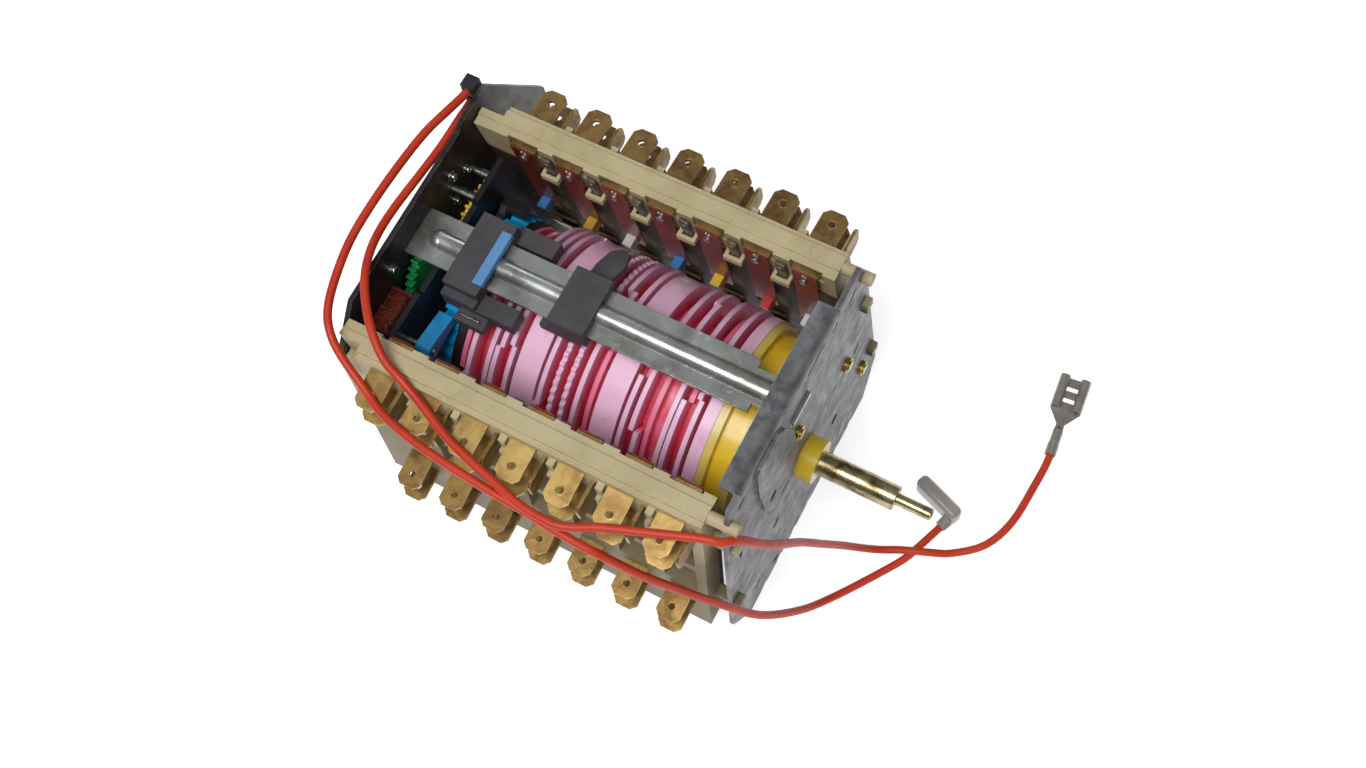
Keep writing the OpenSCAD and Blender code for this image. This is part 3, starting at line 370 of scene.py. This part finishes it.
class Finish:
    """One material with the usual chain: colours by masks, roughness by a mask, bump by grain.

    Sizes, reaches and depths of patterns are in metres or per metre, as the shader nodes take them.
    """

    SOFT_EDGE = 0.00022
    SOFT_SAMPLES = 3

    def __init__(self, name, base, rough=0.5, metal=0.0, coat=0.0, clear=0.0):
        self.mat, self.tree = new_material(name)
        out = self.add("ShaderNodeOutputMaterial")
        self.shader = self.add("ShaderNodeBsdfPrincipled")
        self.tree.links.new(self.shader.outputs[0], out.inputs["Surface"])
        self.place = self.add("ShaderNodeTexCoord").outputs["Object"]
        self.colour = srgb(*base)
        for socket, value in [("Base Color", self.colour), ("Roughness", rough),
                              ("Metallic", metal), ("Coat Weight", coat),
                              ("Transmission Weight", clear), ("IOR", 1.5),
                              ("Coat Roughness", 0.15)]:
            self.shader.inputs[socket].default_value = value

    def add(self, kind):
        return self.tree.nodes.new(kind)

    def group(self, group, **values):
        node = self.add("ShaderNodeGroup")
        node.node_tree = group
        self.tree.links.new(self.place, node.inputs["Place"])
        for label, value in values.items():
            node.inputs[label].default_value = value
        return node.outputs[0]

    def over(self, mask, colour):
        """Lays another colour over the ones before, where the mask is high."""
        mix = self.add("ShaderNodeMix")
        mix.data_type = "RGBA"
        self.tree.links.new(mask, mix.inputs[0])
        feed(self.tree, mix.inputs[6], self.colour)
        mix.inputs[7].default_value = srgb(*colour)
        self.colour = mix.outputs[2]
        self.tree.links.new(self.colour, self.shader.inputs["Base Color"])
        return self

    def patches(self, colour, size, low=0.45, high=0.65):
        return self.over(self.group(BLOTCHES, Size=size, Low=low, High=high), colour)

    def edges(self, colour):
        return self.over(self.group(WORN_EDGES), colour)

    def rough_patches(self, smooth, coarse, size):
        mask = self.group(BLOTCHES, Size=size, Low=0.3, High=0.7)
        self.tree.links.new(ramp_node(self.tree, mask, result=(smooth, coarse)),
                            self.shader.inputs["Roughness"])
        return self

    def tooth(self, strength, size=1500.0, stretch=(1, 1, 1), depth=0.0002):
        bump = self.add("ShaderNodeBump")
        bump.inputs["Strength"].default_value = strength
        bump.inputs["Distance"].default_value = depth
        feed(self.tree, bump.inputs["Normal"],
             bevel_node(self.tree, self.SOFT_SAMPLES, self.SOFT_EDGE))
        feed(self.tree, bump.inputs["Height"], self.group(GRAIN, Size=size, Stretch=stretch))
        self.tree.links.new(bump.outputs[0], self.shader.inputs["Normal"])
        return self

    def station(self, axis):
        split = self.add("ShaderNodeSeparateXYZ")
        self.tree.links.new(self.place, split.inputs[0])
        return split.outputs[axis]

    def math(self, operation, *values):
        return math_node(self.tree, operation, *values)

    def radius_mask(self, r0, r1):
        """Mask that rises from 0 to 1 between two distances from the shaft axis, in mm."""
        y, z = self.station("Y"), self.station("Z")
        square = self.math("ADD", self.math("MULTIPLY", y, y), self.math("MULTIPLY", z, z))
        return ramp_node(self.tree, self.math("SQRT", square), r0 * MM, r1 * MM)

    def axis_mask(self, axis, start, end):
        """Mask that goes from 0 to 1 between two stations along an axis, in mm."""
        return ramp_node(self.tree, self.station(axis), start * MM, end * MM)

    def wing_mask(self, start, end):
        """Mask that goes from 0 to 1 between two distances from the plane Y = 0, in mm."""
        return ramp_node(self.tree, self.math("ABSOLUTE", self.station("Y")),
                         start * MM, end * MM)

    def inner_mask(self, start, end):
        """Mask of the leaning banks' inner faces, by distances from the plane Y = 0 at Z = 0."""
        aside = self.math("ABSOLUTE", self.station("Y"))
        upright = self.math("MULTIPLY_ADD", self.station("Z"), BANK_LEAN, aside)
        return ramp_node(self.tree, upright, start * MM, end * MM)


# --- Finishes of this timer: metals ---

def zinc(name, base, dark, pale, size=160.0):
    return (Finish(name, base, rough=0.42, metal=0.35)
            .patches(dark, size, 0.42, 0.62).patches(pale, size * 0.45, 0.55, 0.75)
            .patches((96, 84, 66), size * 1.9, 0.66, 0.8).edges((176, 178, 178))
            .rough_patches(0.3, 0.6, size * 1.5).tooth(0.25, 1800, depth=0.00012)).mat


def rear_zinc():
    """Rear plate zinc with painted shade: dark brown where the plate lies in the compartment's
    shade, greyer zinc on its wing.
    """
    # Painted shade: the dark brown base and its patches stand for the compartment's shade.
    f = Finish("rear zinc in painted shade", (46, 41, 39), rough=0.45, metal=0.3)
    f.patches((32, 29, 28), 120, 0.42, 0.62).patches((72, 64, 58), 60, 0.58, 0.78)
    # The wing, out of the painted shade, keeps greyer zinc.
    f.over(f.wing_mask(31.0, 34.5), (98, 97, 94))
    f.patches((70, 66, 62), 260, 0.6, 0.8).edges((128, 120, 118))
    return f.rough_patches(0.32, 0.6, 180).tooth(0.25, 1800, depth=0.00012).mat


plate_zinc = zinc("mottled zinc", (116, 116, 118), (84, 84, 86), (146, 151, 156))
can_zinc = zinc("motor can zinc", (160, 164, 166), (118, 120, 122), (186, 190, 192), 90)
flange_zinc = rear_zinc()
bar_steel = (Finish("bright bar steel", (194, 198, 194), rough=0.24, metal=0.82)
             .patches((128, 126, 118), 55, 0.46, 0.72).patches((228, 230, 230), 300, 0.58, 0.72)
             .patches((96, 84, 66), 140, 0.7, 0.78)
             .rough_patches(0.16, 0.4, 120)
             .tooth(0.3, 500, (0.12, 1, 1), 0.00012)).mat
pin_steel = (Finish("turned steel", (190, 192, 192), rough=0.25, metal=1.0)
             .patches((120, 118, 112), 300, 0.5, 0.7).tooth(0.2, 900, (1, 0.1, 0.1))).mat
spring_steel = (Finish("spring strip", (205, 207, 208), rough=0.2, metal=1.0)
                .patches((150, 148, 140), 500, 0.55, 0.7).tooth(0.1, 900)).mat
shaft_steel = (Finish("yellowed shaft steel", (184, 174, 136), rough=0.24, metal=0.9)
               .patches((92, 74, 40), 180, 0.45, 0.7).patches((205, 190, 130), 420, 0.6, 0.75)
               .rough_patches(0.18, 0.36, 200).tooth(0.2, 900, (2.5, 0.3, 0.3), 0.0001)).mat
rivet_brass = (Finish("yellow plated rivet", (200, 172, 84), rough=0.25, metal=0.9)
               .patches((120, 96, 40), 500, 0.5, 0.7).tooth(0.1, 1500)).mat
bush_brass = (Finish("dull bush brass", (160, 132, 74), rough=0.4, metal=0.9)
              .patches((104, 80, 42), 260, 0.45, 0.7).tooth(0.15, 1500)).mat
blade_brass = (Finish("tab brass", (182, 152, 88), rough=0.34, metal=0.6)
               .patches((146, 112, 60), 190, 0.44, 0.66).patches((204, 176, 110), 90, 0.58, 0.76)
               .patches((104, 74, 38), 420, 0.64, 0.76).edges((232, 208, 138))
               .rough_patches(0.24, 0.5, 260).tooth(0.22, 900, (1, 0.4, 1), 0.00012)).mat
low_brass = (Finish("duller tab brass", (150, 122, 68), rough=0.38, metal=0.65)
             .patches((112, 82, 42), 170, 0.42, 0.64).patches((182, 154, 92), 110, 0.6, 0.76)
             .edges((220, 192, 124)).rough_patches(0.3, 0.55, 240).tooth(0.22, 900)).mat
dark_brass = (Finish("darkened tab brass", (150, 121, 72), rough=0.36, metal=0.55)
              .patches((110, 80, 44), 180, 0.44, 0.66).patches((182, 154, 100), 100, 0.6, 0.76)
              .patches((66, 46, 26), 420, 0.62, 0.74).edges((204, 176, 116))
              .rough_patches(0.24, 0.5, 260).tooth(0.22, 900, (1, 0.4, 1), 0.00012)).mat
leaf_bronze = (Finish("red brown leaf", (146, 58, 38), rough=0.36, metal=0.3, coat=0.2)
               .patches((104, 36, 26), 120, 0.4, 0.7).patches((176, 84, 54), 260, 0.62, 0.76)
               .tooth(0.15, 900, (1, 1, 0.2))).mat
contact_silver = (Finish("contact silver", (214, 214, 206), rough=0.22, metal=0.95)
                  .patches((150, 146, 130), 700, 0.5, 0.7).tooth(0.1, 1500)).mat
tin = (Finish("tin plate", (156, 152, 143), rough=0.36, metal=0.4)
       .patches((140, 134, 124), 240, 0.44, 0.68).patches((204, 202, 196), 420, 0.6, 0.75)
       .rough_patches(0.24, 0.46, 260).tooth(0.15, 1500)).mat
copper = (Finish("bare copper strands", (196, 112, 70), rough=0.3, metal=0.95)
          .patches((150, 78, 46), 900, 0.45, 0.7).tooth(0.1, 1500)).mat


# --- Finishes of this timer: mouldings, winding and wire ---

def moulded(name, base, dark, rough=0.45, coat=0.0, size=90.0):
    return (Finish(name, base, rough=rough, coat=coat)
            .patches(dark, size, 0.45, 0.72).rough_patches(rough - 0.08, rough + 0.12, size * 2)
            .tooth(0.18, 2200, depth=0.0001)).mat


def banks_beige():
    """Beige moulding, with painted shade that darkens the banks towards their bottoms and, darkest,
    on their inner faces below the rails.
    """
    f = Finish("beige moulding", (196, 182, 142), rough=0.55)
    f.patches((180, 165, 124), 70, 0.42, 0.68).patches((158, 140, 102), 420, 0.62, 0.8)
    f.patches((134, 114, 82), 900, 0.68, 0.8).edges((214, 202, 168))
    # Painted shade: darker towards the bottom of both banks.
    f.over(f.axis_mask("Z", 24.0, 14.0), (138, 124, 94))
    # Painted shade, darkest, on the banks' inner faces below their rails.
    inner_painted_shade = f.math("MULTIPLY", f.axis_mask("Z", 28.0, 26.5), f.inner_mask(33.2, 32.4))
    f.over(inner_painted_shade, (58, 48, 38))
    return f.rough_patches(0.45, 0.65, 150).tooth(0.35, 1700, depth=0.00015).mat


def drum_pink():
    """Rose in the grooves, with painted light that brightens the groove walls and makes the rims
    pale, and some light passing through.
    """
    f = Finish("pink drum", (240, 84, 120), rough=0.36, coat=0.25)
    f.patches((228, 62, 98), 60, 0.42, 0.7)
    # Painted light: lighter up the groove walls against the shade between the rims, and pale on the
    # lit rims.
    f.over(f.radius_mask(22.4, 24.8), (250, 150, 184))
    f.over(f.radius_mask(24.8, 26.0), (252, 200, 230))
    f.patches((228, 150, 190), 150, 0.56, 0.8)
    f.rough_patches(0.3, 0.46, 140).tooth(0.15, 1500, depth=0.0001)
    f.shader.inputs["Subsurface Weight"].default_value = 0.12
    f.shader.inputs["Subsurface Radius"].default_value = (0.004, 0.0015, 0.002)
    f.shader.inputs["Subsurface Scale"].default_value = 0.6
    return f.mat


def cap_yellow():
    """Yellow that pales toward the cap's rim."""
    f = Finish("yellow cap", (244, 204, 52), rough=0.3, coat=0.35)
    f.over(f.radius_mask(23.5, 25.2), (246, 214, 82))
    f.over(f.axis_mask("X", -15.6, -14.4), (244, 206, 52))
    f.over(f.radius_mask(25.6, 26.6), (226, 204, 112))
    f.patches((220, 168, 40), 130, 0.55, 0.8)
    return f.rough_patches(0.24, 0.4, 140).tooth(0.12, 1500, depth=0.0001).mat


bank_beige = banks_beige()
pink = drum_pink()
yellow = cap_yellow()
charcoal = (Finish("charcoal moulding", (72, 70, 74), rough=0.6)
            .patches((56, 54, 58), 120, 0.4, 0.7).patches((96, 94, 98), 900, 0.62, 0.75)
            .tooth(0.5, 2000, depth=0.00015)).mat
wall_dark = (Finish("dark inner wall", (20, 20, 27), rough=0.45, coat=0.1)
             .patches((11, 11, 14), 80, 0.4, 0.7).patches((26, 44, 66), 45, 0.6, 0.78)
             .tooth(0.2, 1500)).mat
wheel_blue = (Finish("bright blue wheel", (10, 158, 220), rough=0.38, coat=0.2)
              .patches((4, 112, 168), 80, 0.42, 0.7).patches((70, 190, 226), 500, 0.66, 0.78)
              .rough_patches(0.3, 0.48, 150).tooth(0.2, 1500)).mat
insert_blue = moulded("light blue moulding", (98, 150, 202), (84, 132, 186), 0.5)
box_black = moulded("black outlet box", (40, 40, 42), (24, 24, 26), 0.5)
disc_black = moulded("black disc", (38, 30, 36), (22, 18, 22), 0.42, 0.2)
gear_yellow = moulded("yellow gear", (236, 200, 52), (196, 160, 36), 0.4, 0.2)
gear_green = moulded("green gear", (28, 152, 84), (12, 104, 60), 0.4, 0.2)
pinion_pale = moulded("natural pinion", (214, 208, 190), (180, 172, 150), 0.45)
rotor_grey = moulded("rotor magnet", (78, 80, 84), (52, 54, 58), 0.5)
lever_dark = moulded("dark lever", (44, 40, 48), (28, 26, 32), 0.45, 0.2)
pawl_blue = moulded("blue pawl", (24, 156, 214), (10, 118, 176), 0.42, 0.2)
follower_yellow = moulded("yellow follower", (224, 184, 50), (186, 140, 34), 0.4, 0.2)
follower_white = moulded("milky follower", (222, 220, 214), (188, 186, 182), 0.4, 0.3)
follower_blue = moulded("blue follower", (54, 128, 186), (36, 92, 148), 0.4, 0.2)
follower_red = moulded("red follower", (206, 56, 44), (160, 34, 30), 0.38, 0.3)
coil_varnish = (Finish("varnished coil former", (112, 44, 30), rough=0.35, coat=0.4)
                .patches((66, 24, 18), 260, 0.4, 0.66).patches((158, 76, 48), 420, 0.6, 0.76)
                .tooth(0.25, 1200)).mat
coil_wire = (Finish("varnished winding", (126, 52, 34), rough=0.3, metal=0.3, coat=0.4)
             .patches((84, 30, 20), 500, 0.42, 0.66).patches((170, 92, 58), 900, 0.6, 0.76)
             .tooth(0.1, 1500)).mat
wire_red = (Finish("red orange insulation", (206, 56, 16), rough=0.48, coat=0.05)
            .patches((182, 38, 14), 60, 0.45, 0.75).patches((222, 92, 52), 400, 0.66, 0.8)
            .rough_patches(0.42, 0.56, 160).tooth(0.12, 1200, depth=0.0001)).mat
pad_grey = (Finish("smoky grey pads", (104, 92, 82), rough=0.4, clear=0.15, coat=0.2)
            .patches((78, 66, 58), 200, 0.42, 0.7).tooth(0.15, 1500)).mat
sleeve_grey = (Finish("milky grey sleeve", (196, 192, 188), rough=0.28, clear=0.35, coat=0.2)
               .patches((170, 164, 158), 120, 0.4, 0.7).tooth(0.1, 1500)).mat


# --- Which node has which finish ---

FINISH_OF = {
    "front_plate": plate_zinc, "rear_plate": flange_zinc, "tie_bar": bar_steel,
    "saddle": charcoal, "saddle_insert": insert_blue, "saddle_spring": spring_steel,
    "bar_clip": charcoal, "drive_wall": wall_dark, "frame_posts": pin_steel,
    "gear_pins": pin_steel, "rear_bush": bush_brass, "motor_can": can_zinc,
    "motor_coil": coil_varnish, "wire_box": box_black, "plate_rivets": rivet_brass,
    "yellow_followers": follower_yellow, "white_followers": follower_white,
    "blue_followers": follower_blue, "red_followers": follower_red,
    "cam_drum": pink, "drum_disc": disc_black, "ratchet_wheel": wheel_blue,
    "drum_cap": yellow, "control_shaft": shaft_steel, "yellow_gear": gear_yellow,
    "gear_arbor": pin_steel, "green_gear": gear_green, "motor_pinion": pinion_pale,
    "motor_rotor": rotor_grey, "drive_pawl": lever_dark, "stop_pawl": pawl_blue,
    "straight_receptacle": tin, "flag_receptacle": sleeve_grey, "wire_a": wire_red,
    "wire_b": wire_red}


def tab_finish(side, row):
    if side == "upper":
        return dark_brass
    return blade_brass if row < 3 else low_brass


for _, side in SIDES:
    FINISH_OF[f"{side}_bank_frame"] = bank_beige
    FINISH_OF[f"{side}_leaves"] = leaf_bronze
    FINISH_OF[f"{side}_contacts"] = contact_silver
    FINISH_OF[f"{side}_side_blades"] = low_brass
    for row in (1, 2, 3, 4):
        FINISH_OF[f"{side}_blades_{row}"] = tab_finish(side, row)


def dress_nodes():
    for name, node in NODES.items():
        node.data.materials.clear()
        node.data.materials.append(FINISH_OF[name])


# --- Forms for small pieces, in millimetres ---

SHARP = math.radians(38)


def piece(name, bm, mat):
    bmesh.ops.scale(bm, vec=(MM, MM, MM), verts=bm.verts)
    bmesh.ops.recalc_face_normals(bm, faces=bm.faces)
    mesh = bpy.data.meshes.new(name)
    bm.to_mesh(mesh)
    bm.free()
    mesh.shade_smooth()
    mesh.set_sharp_from_angle(angle=SHARP)
    mesh.materials.append(mat)
    obj = link(bpy.data.objects.new(name, mesh))
    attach(obj, "chassis")
    return obj


def circle(count, radius):
    """Points of a circle, as pairs."""
    return [(radius * math.cos(a), radius * math.sin(a))
            for a in (2 * math.pi * i / count for i in range(count))]


def round_edges(bm, verts, bevel, segments, warp):
    """Rounds the edges at the vertices, then bends the form by warp if given."""
    edges = list({e for v in verts for e in v.link_edges})
    made = bmesh.ops.bevel(bm, geom=edges, offset=bevel, segments=segments, profile=0.5,
                           affect="EDGES")
    if warp:
        for v in made["verts"]:
            v.co = warp(v.co)


def add_block(bm, x, y, z, bevel=0.2, segments=2, warp=None):
    """Block between pairs of stations."""
    verts = bmesh.ops.create_cube(bm, size=1.0)["verts"]
    for v in verts:
        v.co = Vector([(lo + hi) / 2 + c * (hi - lo) for c, (lo, hi) in zip(v.co, (x, y, z))])
    round_edges(bm, verts, bevel, segments, warp)


def add_prism(bm, outline, z0, z1, bevel=0.2, warp=None):
    """Flat outline in X and Y, given thickness in Z."""
    low = [bm.verts.new((x, y, z0)) for x, y in outline]
    high = [bm.verts.new((x, y, z1)) for x, y in outline]
    n = len(outline)
    bm.faces.new(low[::-1])
    bm.faces.new(high)
    for i in range(n):
        bm.faces.new((low[i], low[(i + 1) % n], high[(i + 1) % n], high[i]))
    round_edges(bm, low + high, bevel, 2, warp)


def join_rings(bm, one, two):
    n = len(one)
    for i in range(n):
        j = (i + 1) % n
        bm.faces.new((one[i], one[j], two[j], two[i]))


def close_ends(bm, rings):
    bm.faces.new(rings[0][::-1])
    bm.faces.new(rings[-1])


def add_turned(bm, profile, base, axis, steps=24):
    """Turned form from pairs of distance along the axis and radius."""
    base, axis = Vector(base), Vector(axis).normalized()
    side = axis.orthogonal().normalized()
    other = axis.cross(side)
    rings = [[bm.verts.new(base + axis * d + side * u + other * w) for u, w in circle(steps, r)]
             for d, r in profile]
    for one, two in zip(rings, rings[1:]):
        join_rings(bm, one, two)
    close_ends(bm, rings)


def add_tube(bm, line, r, sides=6, closed=False):
    """Round wire along points."""
    line = [Vector(q) for q in line]
    n = len(line)
    rings = []
    side = None
    for i, q in enumerate(line):
        before = line[i - 1] if closed or i else q
        after = line[(i + 1) % n] if closed or i < n - 1 else q
        along = (after - before).normalized()
        side = along.orthogonal() if side is None else side - along * side.dot(along)
        side.normalize()
        other = along.cross(side)
        rings.append([bm.verts.new(q + side * u + other * w) for u, w in circle(sides, r)])
    for one, two in zip(rings, rings[1:] + rings[:1] if closed else rings[1:]):
        join_rings(bm, one, two)
    if not closed:
        close_ends(bm, rings)


def dome(radius, height):
    """Profile of a domed head, from its rim to its crown."""
    crown = 0.55
    return [(d / crown * height, r * radius)
            for d, r in [(0, 1), (0.18, 0.96), (0.36, 0.8), (0.5, 0.5), (crown, 0.08)]]


# --- Small pieces of the drive and the frame ---

def coil_winding():
    """Bundles of wire between the coil former's flanges and ribs."""
    x0, x1, z0, z1 = -97.1, -92.4, 16.1, 28.9
    corner, wire_r, pitch = 1.2, 0.28, 0.5
    bays = [(-23.5, -21.95), (-21.35, -19.2), (-18.6, -16.45), (-15.85, -14.3)]
    centres = [(x1 - corner, z1 - corner, 0), (x0 + corner, z1 - corner, 90),
               (x0 + corner, z0 + corner, 180), (x1 - corner, z0 + corner, 270)]
    loop = [(cx + corner * math.cos(math.radians(a + t)),
             cz + corner * math.sin(math.radians(a + t)))
            for cx, cz, a in centres for t in (0, 30, 60, 90)]
    bm = bmesh.new()
    for y0, y1 in bays:
        count = int((y1 - y0) / pitch)
        for i in range(count):
            y = y0 + (i + 0.5) * (y1 - y0) / count
            add_tube(bm, [(x, y, z) for x, z in loop], wire_r, closed=True)
    piece("coil_winding", bm, coil_wire)


def compartment_pins():
    """Bright riveted pins on the rear plate's inner face."""
    collar, head_at, head = 1.3, 1.1, 0.5
    bm = bmesh.new()
    for y, z, r in [(14.8, 34.3, 1.0), (19.4, 30.2, 0.8), (12.9, 25.6, 0.9), (-11.4, 34.3, 1.2)]:
        profile = [(-0.1, r * collar), (0.3, r * collar), (0.32, r), (head_at, r)]
        profile += [(head_at + d, q) for d, q in dome(r, head)[1:]]
        add_turned(bm, profile, (REAR_PLATE_X, y, z), (1, 0, 0), 20)
    piece("compartment_pins", bm, pin_steel)


def clip_tongue():
    """Dark tongue that reaches from the bar's clip toward the upper bank."""
    outline = [(-57.4, 6.9), (-57.0, 11.2), (-55.6, 15.4), (-53.2, 17.2), (-51.0, 16.6),
               (-50.4, 13.0), (-51.6, 9.4), (-52.4, 6.9)]
    straight_to, droop = 8.0, 0.006
    bm = bmesh.new()
    add_prism(bm, outline, 29.7, 31.1, 0.3,
              lambda q: Vector((q.x, q.y, q.z - droop * max(0.0, q.y - straight_to) ** 2)))
    add_block(bm, (-56.6, -53.2), (7.0, 8.6), (30.9, 33.2), 0.3)
    piece("clip_tongue", bm, charcoal)


def outlet_grommets():
    """Soft rings where the wires leave the box."""
    ring_y, ring_r, bead_r = 31.55, 1.25, 0.26
    bm = bmesh.new()
    for x, _, z in (ROUTE_A[0], ROUTE_B[0]):
        add_tube(bm, [(x + u, ring_y, z + w) for u, w in circle(28, ring_r)], bead_r, 8,
                 closed=True)
    piece("outlet_grommets", bm, box_black)


def can_pressings():
    """Pressed ring, dimples and bearing boss on the motor can's back."""
    y, z = CAN_AXIS
    bm = bmesh.new()
    for radius, r in [(12.4, 0.35), (5.2, 0.3)]:
        add_tube(bm, [(CAN_BACK_X - 0.05, y + u, z + w) for u, w in circle(64, radius)], r, 8,
                 closed=True)
    add_turned(bm, [(-0.1, 2.6), (0.3, 2.5), (0.4, 1.6), (0.7, 1.5), (0.75, 0.5)],
               (CAN_BACK_X, y, z), (-1, 0, 0), 32)
    dimples_r = 9
    for angle in (45, 135, 225, 315):
        a = math.radians(angle)
        add_turned(bm, [(-0.1, 0.9)] + dome(0.85, 0.45)[1:],
                   (CAN_BACK_X, y + dimples_r * math.cos(a), z + dimples_r * math.sin(a)),
                   (-1, 0, 0), 16)
    piece("can_pressings", bm, can_zinc)


# --- Small pieces of the contact banks; side is 1 for the upper bank and -1 for the lower one ---

def bracket_pads(side, label):
    """Smoky pads that stand in the bank's brackets, along the leaning wall."""
    def on_wall(q):
        return Vector((q.x, side * (bank_y(q.z) - q.y), q.z))

    bm = bmesh.new()
    for k in range(COLUMNS - 1):
        x = column_x(k) + COLUMN_PITCH / 2
        add_block(bm, (x - 1.25, x + 1.25), (0.12, 1.2), (27.4, 37.3), 0.3, 2, on_wall)
        add_block(bm, (x - 0.7, x + 0.7), (0.9, 1.55), (33.6, 36.2), 0.25, 2, on_wall)
    piece(label + "_bracket_pads", bm, pad_grey)


def leaf_rivets(side, label):
    """Domed heads on the leaves' rivets, with a thin washer under each."""
    washer_r, washer_t = 0.98, 0.1
    bm = bmesh.new()
    for k in range(COLUMNS):
        base = (column_x(k), side * (leaf_y(35.6) - 0.5), 34.6)
        profile = [(0, washer_r), (washer_t, washer_r)]
        profile += [(washer_t + d, q) for d, q in dome(0.9, 0.4)[1:]]
        add_turned(bm, profile, base, (0, -side, 0), 20)
        top = (column_x(k) - 0.2, side * (leaf_y(36.6) - 0.02), 36.7)
        add_turned(bm, dome(0.55, 0.3), top, (0, -side, 0), 16)
    piece(label + "_leaf_rivets", bm, contact_silver)


def blade_eyes(side, label):
    """Raised rims about the holes of the top blades."""
    tilt = math.radians(6)
    root_z, root_out, hole_out, face_up = 37.3, 7.4, 5.16, 0.38
    hole_r, rim_r = 1.1, 0.13
    y = bank_y(root_z) + root_out + hole_out * math.cos(tilt) + face_up * math.sin(tilt)
    z = root_z - hole_out * math.sin(tilt) + face_up * math.cos(tilt)
    bm = bmesh.new()
    for k in range(COLUMNS):
        ring = [(column_x(k) + u, side * (y + w * math.cos(tilt)), z - w * math.sin(tilt))
                for u, w in circle(24, hole_r)]
        add_tube(bm, ring, rim_r, closed=True)
    piece(label + "_blade_eyes", bm, tab_finish(label, 1))


# --- Small pieces at the wires' ends ---

def at_wire_end(route, heading):
    """Frame at a route's last point, with X along the heading given in X and Y."""
    return (Matrix.Translation(Vector(route[-1]))
            @ Matrix.Rotation(math.atan2(heading[1], heading[0]), 4, "Z"))


def flag_sleeve():
    """Soft milky sleeve of the flag receptacle, with the folded tin part inside it."""
    turn = at_wire_end(ROUTE_A, (1.7, 4.5))
    mid_x, mid_y, half_y, mid_z = 2.0, 4.95, 6.75, -36.2 + 39.0
    lift = 0.62  # keeps the collar above the floor

    def shape(q):
        out = abs((q.y - mid_y) / half_y)
        return turn @ Vector((mid_x + (q.x - mid_x) * (1.0 - 0.16 * out ** 3), q.y,
                              mid_z + (q.z - mid_z) * (1 - 0.1 * out ** 2)))

    bm = bmesh.new()
    add_block(bm, (0.0, 4.0), (-1.8, 11.7), (-1.0, 6.6), 1.25, 5, shape)
    add_turned(bm, [(-2.2, 1.35), (-2.1, 1.5), (0.1, 1.6), (0.6, 1.5)],
               turn @ Vector((0, 0, lift)), turn.to_3x3() @ Vector((1, 0, 0)), 24)
    sleeve = piece("flag_sleeve", bm, sleeve_grey)
    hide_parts("flag_receptacle")
    bm = bmesh.new()
    for x0, x1, z0, z1 in [(1.1, 1.5, 0.0, 5.4), (1.1, 2.9, 0.0, 0.4), (1.1, 2.9, 5.0, 5.4)]:
        add_block(bm, (x0, x1), (1.6, 10.9), (z0, z1), 0.12, 2, lambda q: turn @ q)
    add_block(bm, (1.2, 2.8), (-0.9, 1.8), (0.2, 2.0), 0.3, 2, lambda q: turn @ q)
    return [sleeve, piece("flag_metal", bm, tin)]


def bare_strands():
    """Strands of the straight receptacle's wire, seen past its crimp."""
    turn = at_wire_end(ROUTE_B, (-0.5, 4.9))
    drop, strand_r = 0.35, 0.15
    bm = bmesh.new()
    for i, (y, z) in enumerate([(-0.5, 0.1), (0.0, 0.28), (0.5, 0.1), (-0.25, 0.5), (0.28, 0.52)]):
        stations = (-0.6, 0.8, 2.2, 3.6, 4.9 + 0.2 * (i % 3))
        add_tube(bm, [turn @ Vector((x, y * (1 - 0.05 * x), z - drop)) for x in stations], strand_r)
    return piece("bare_strands", bm, copper)


# --- The scene ---

make_camera()
make_floor()
make_room()
make_lamps()
dress_nodes()
insulated_wire("wire_a_lead", ROUTE_A, "wire_a", flag_sleeve(), wire_red)
insulated_wire("wire_b_lead", ROUTE_B, "wire_b",
               [NODES["straight_receptacle"], bare_strands()], wire_red)
coil_winding()
compartment_pins()
clip_tongue()
outlet_grommets()
can_pressings()
for side, label in SIDES:
    bracket_pads(side, label)
    leaf_rivets(side, label)
    blade_eyes(side, label)
bpy.context.scene.view_settings.view_transform = "Standard"
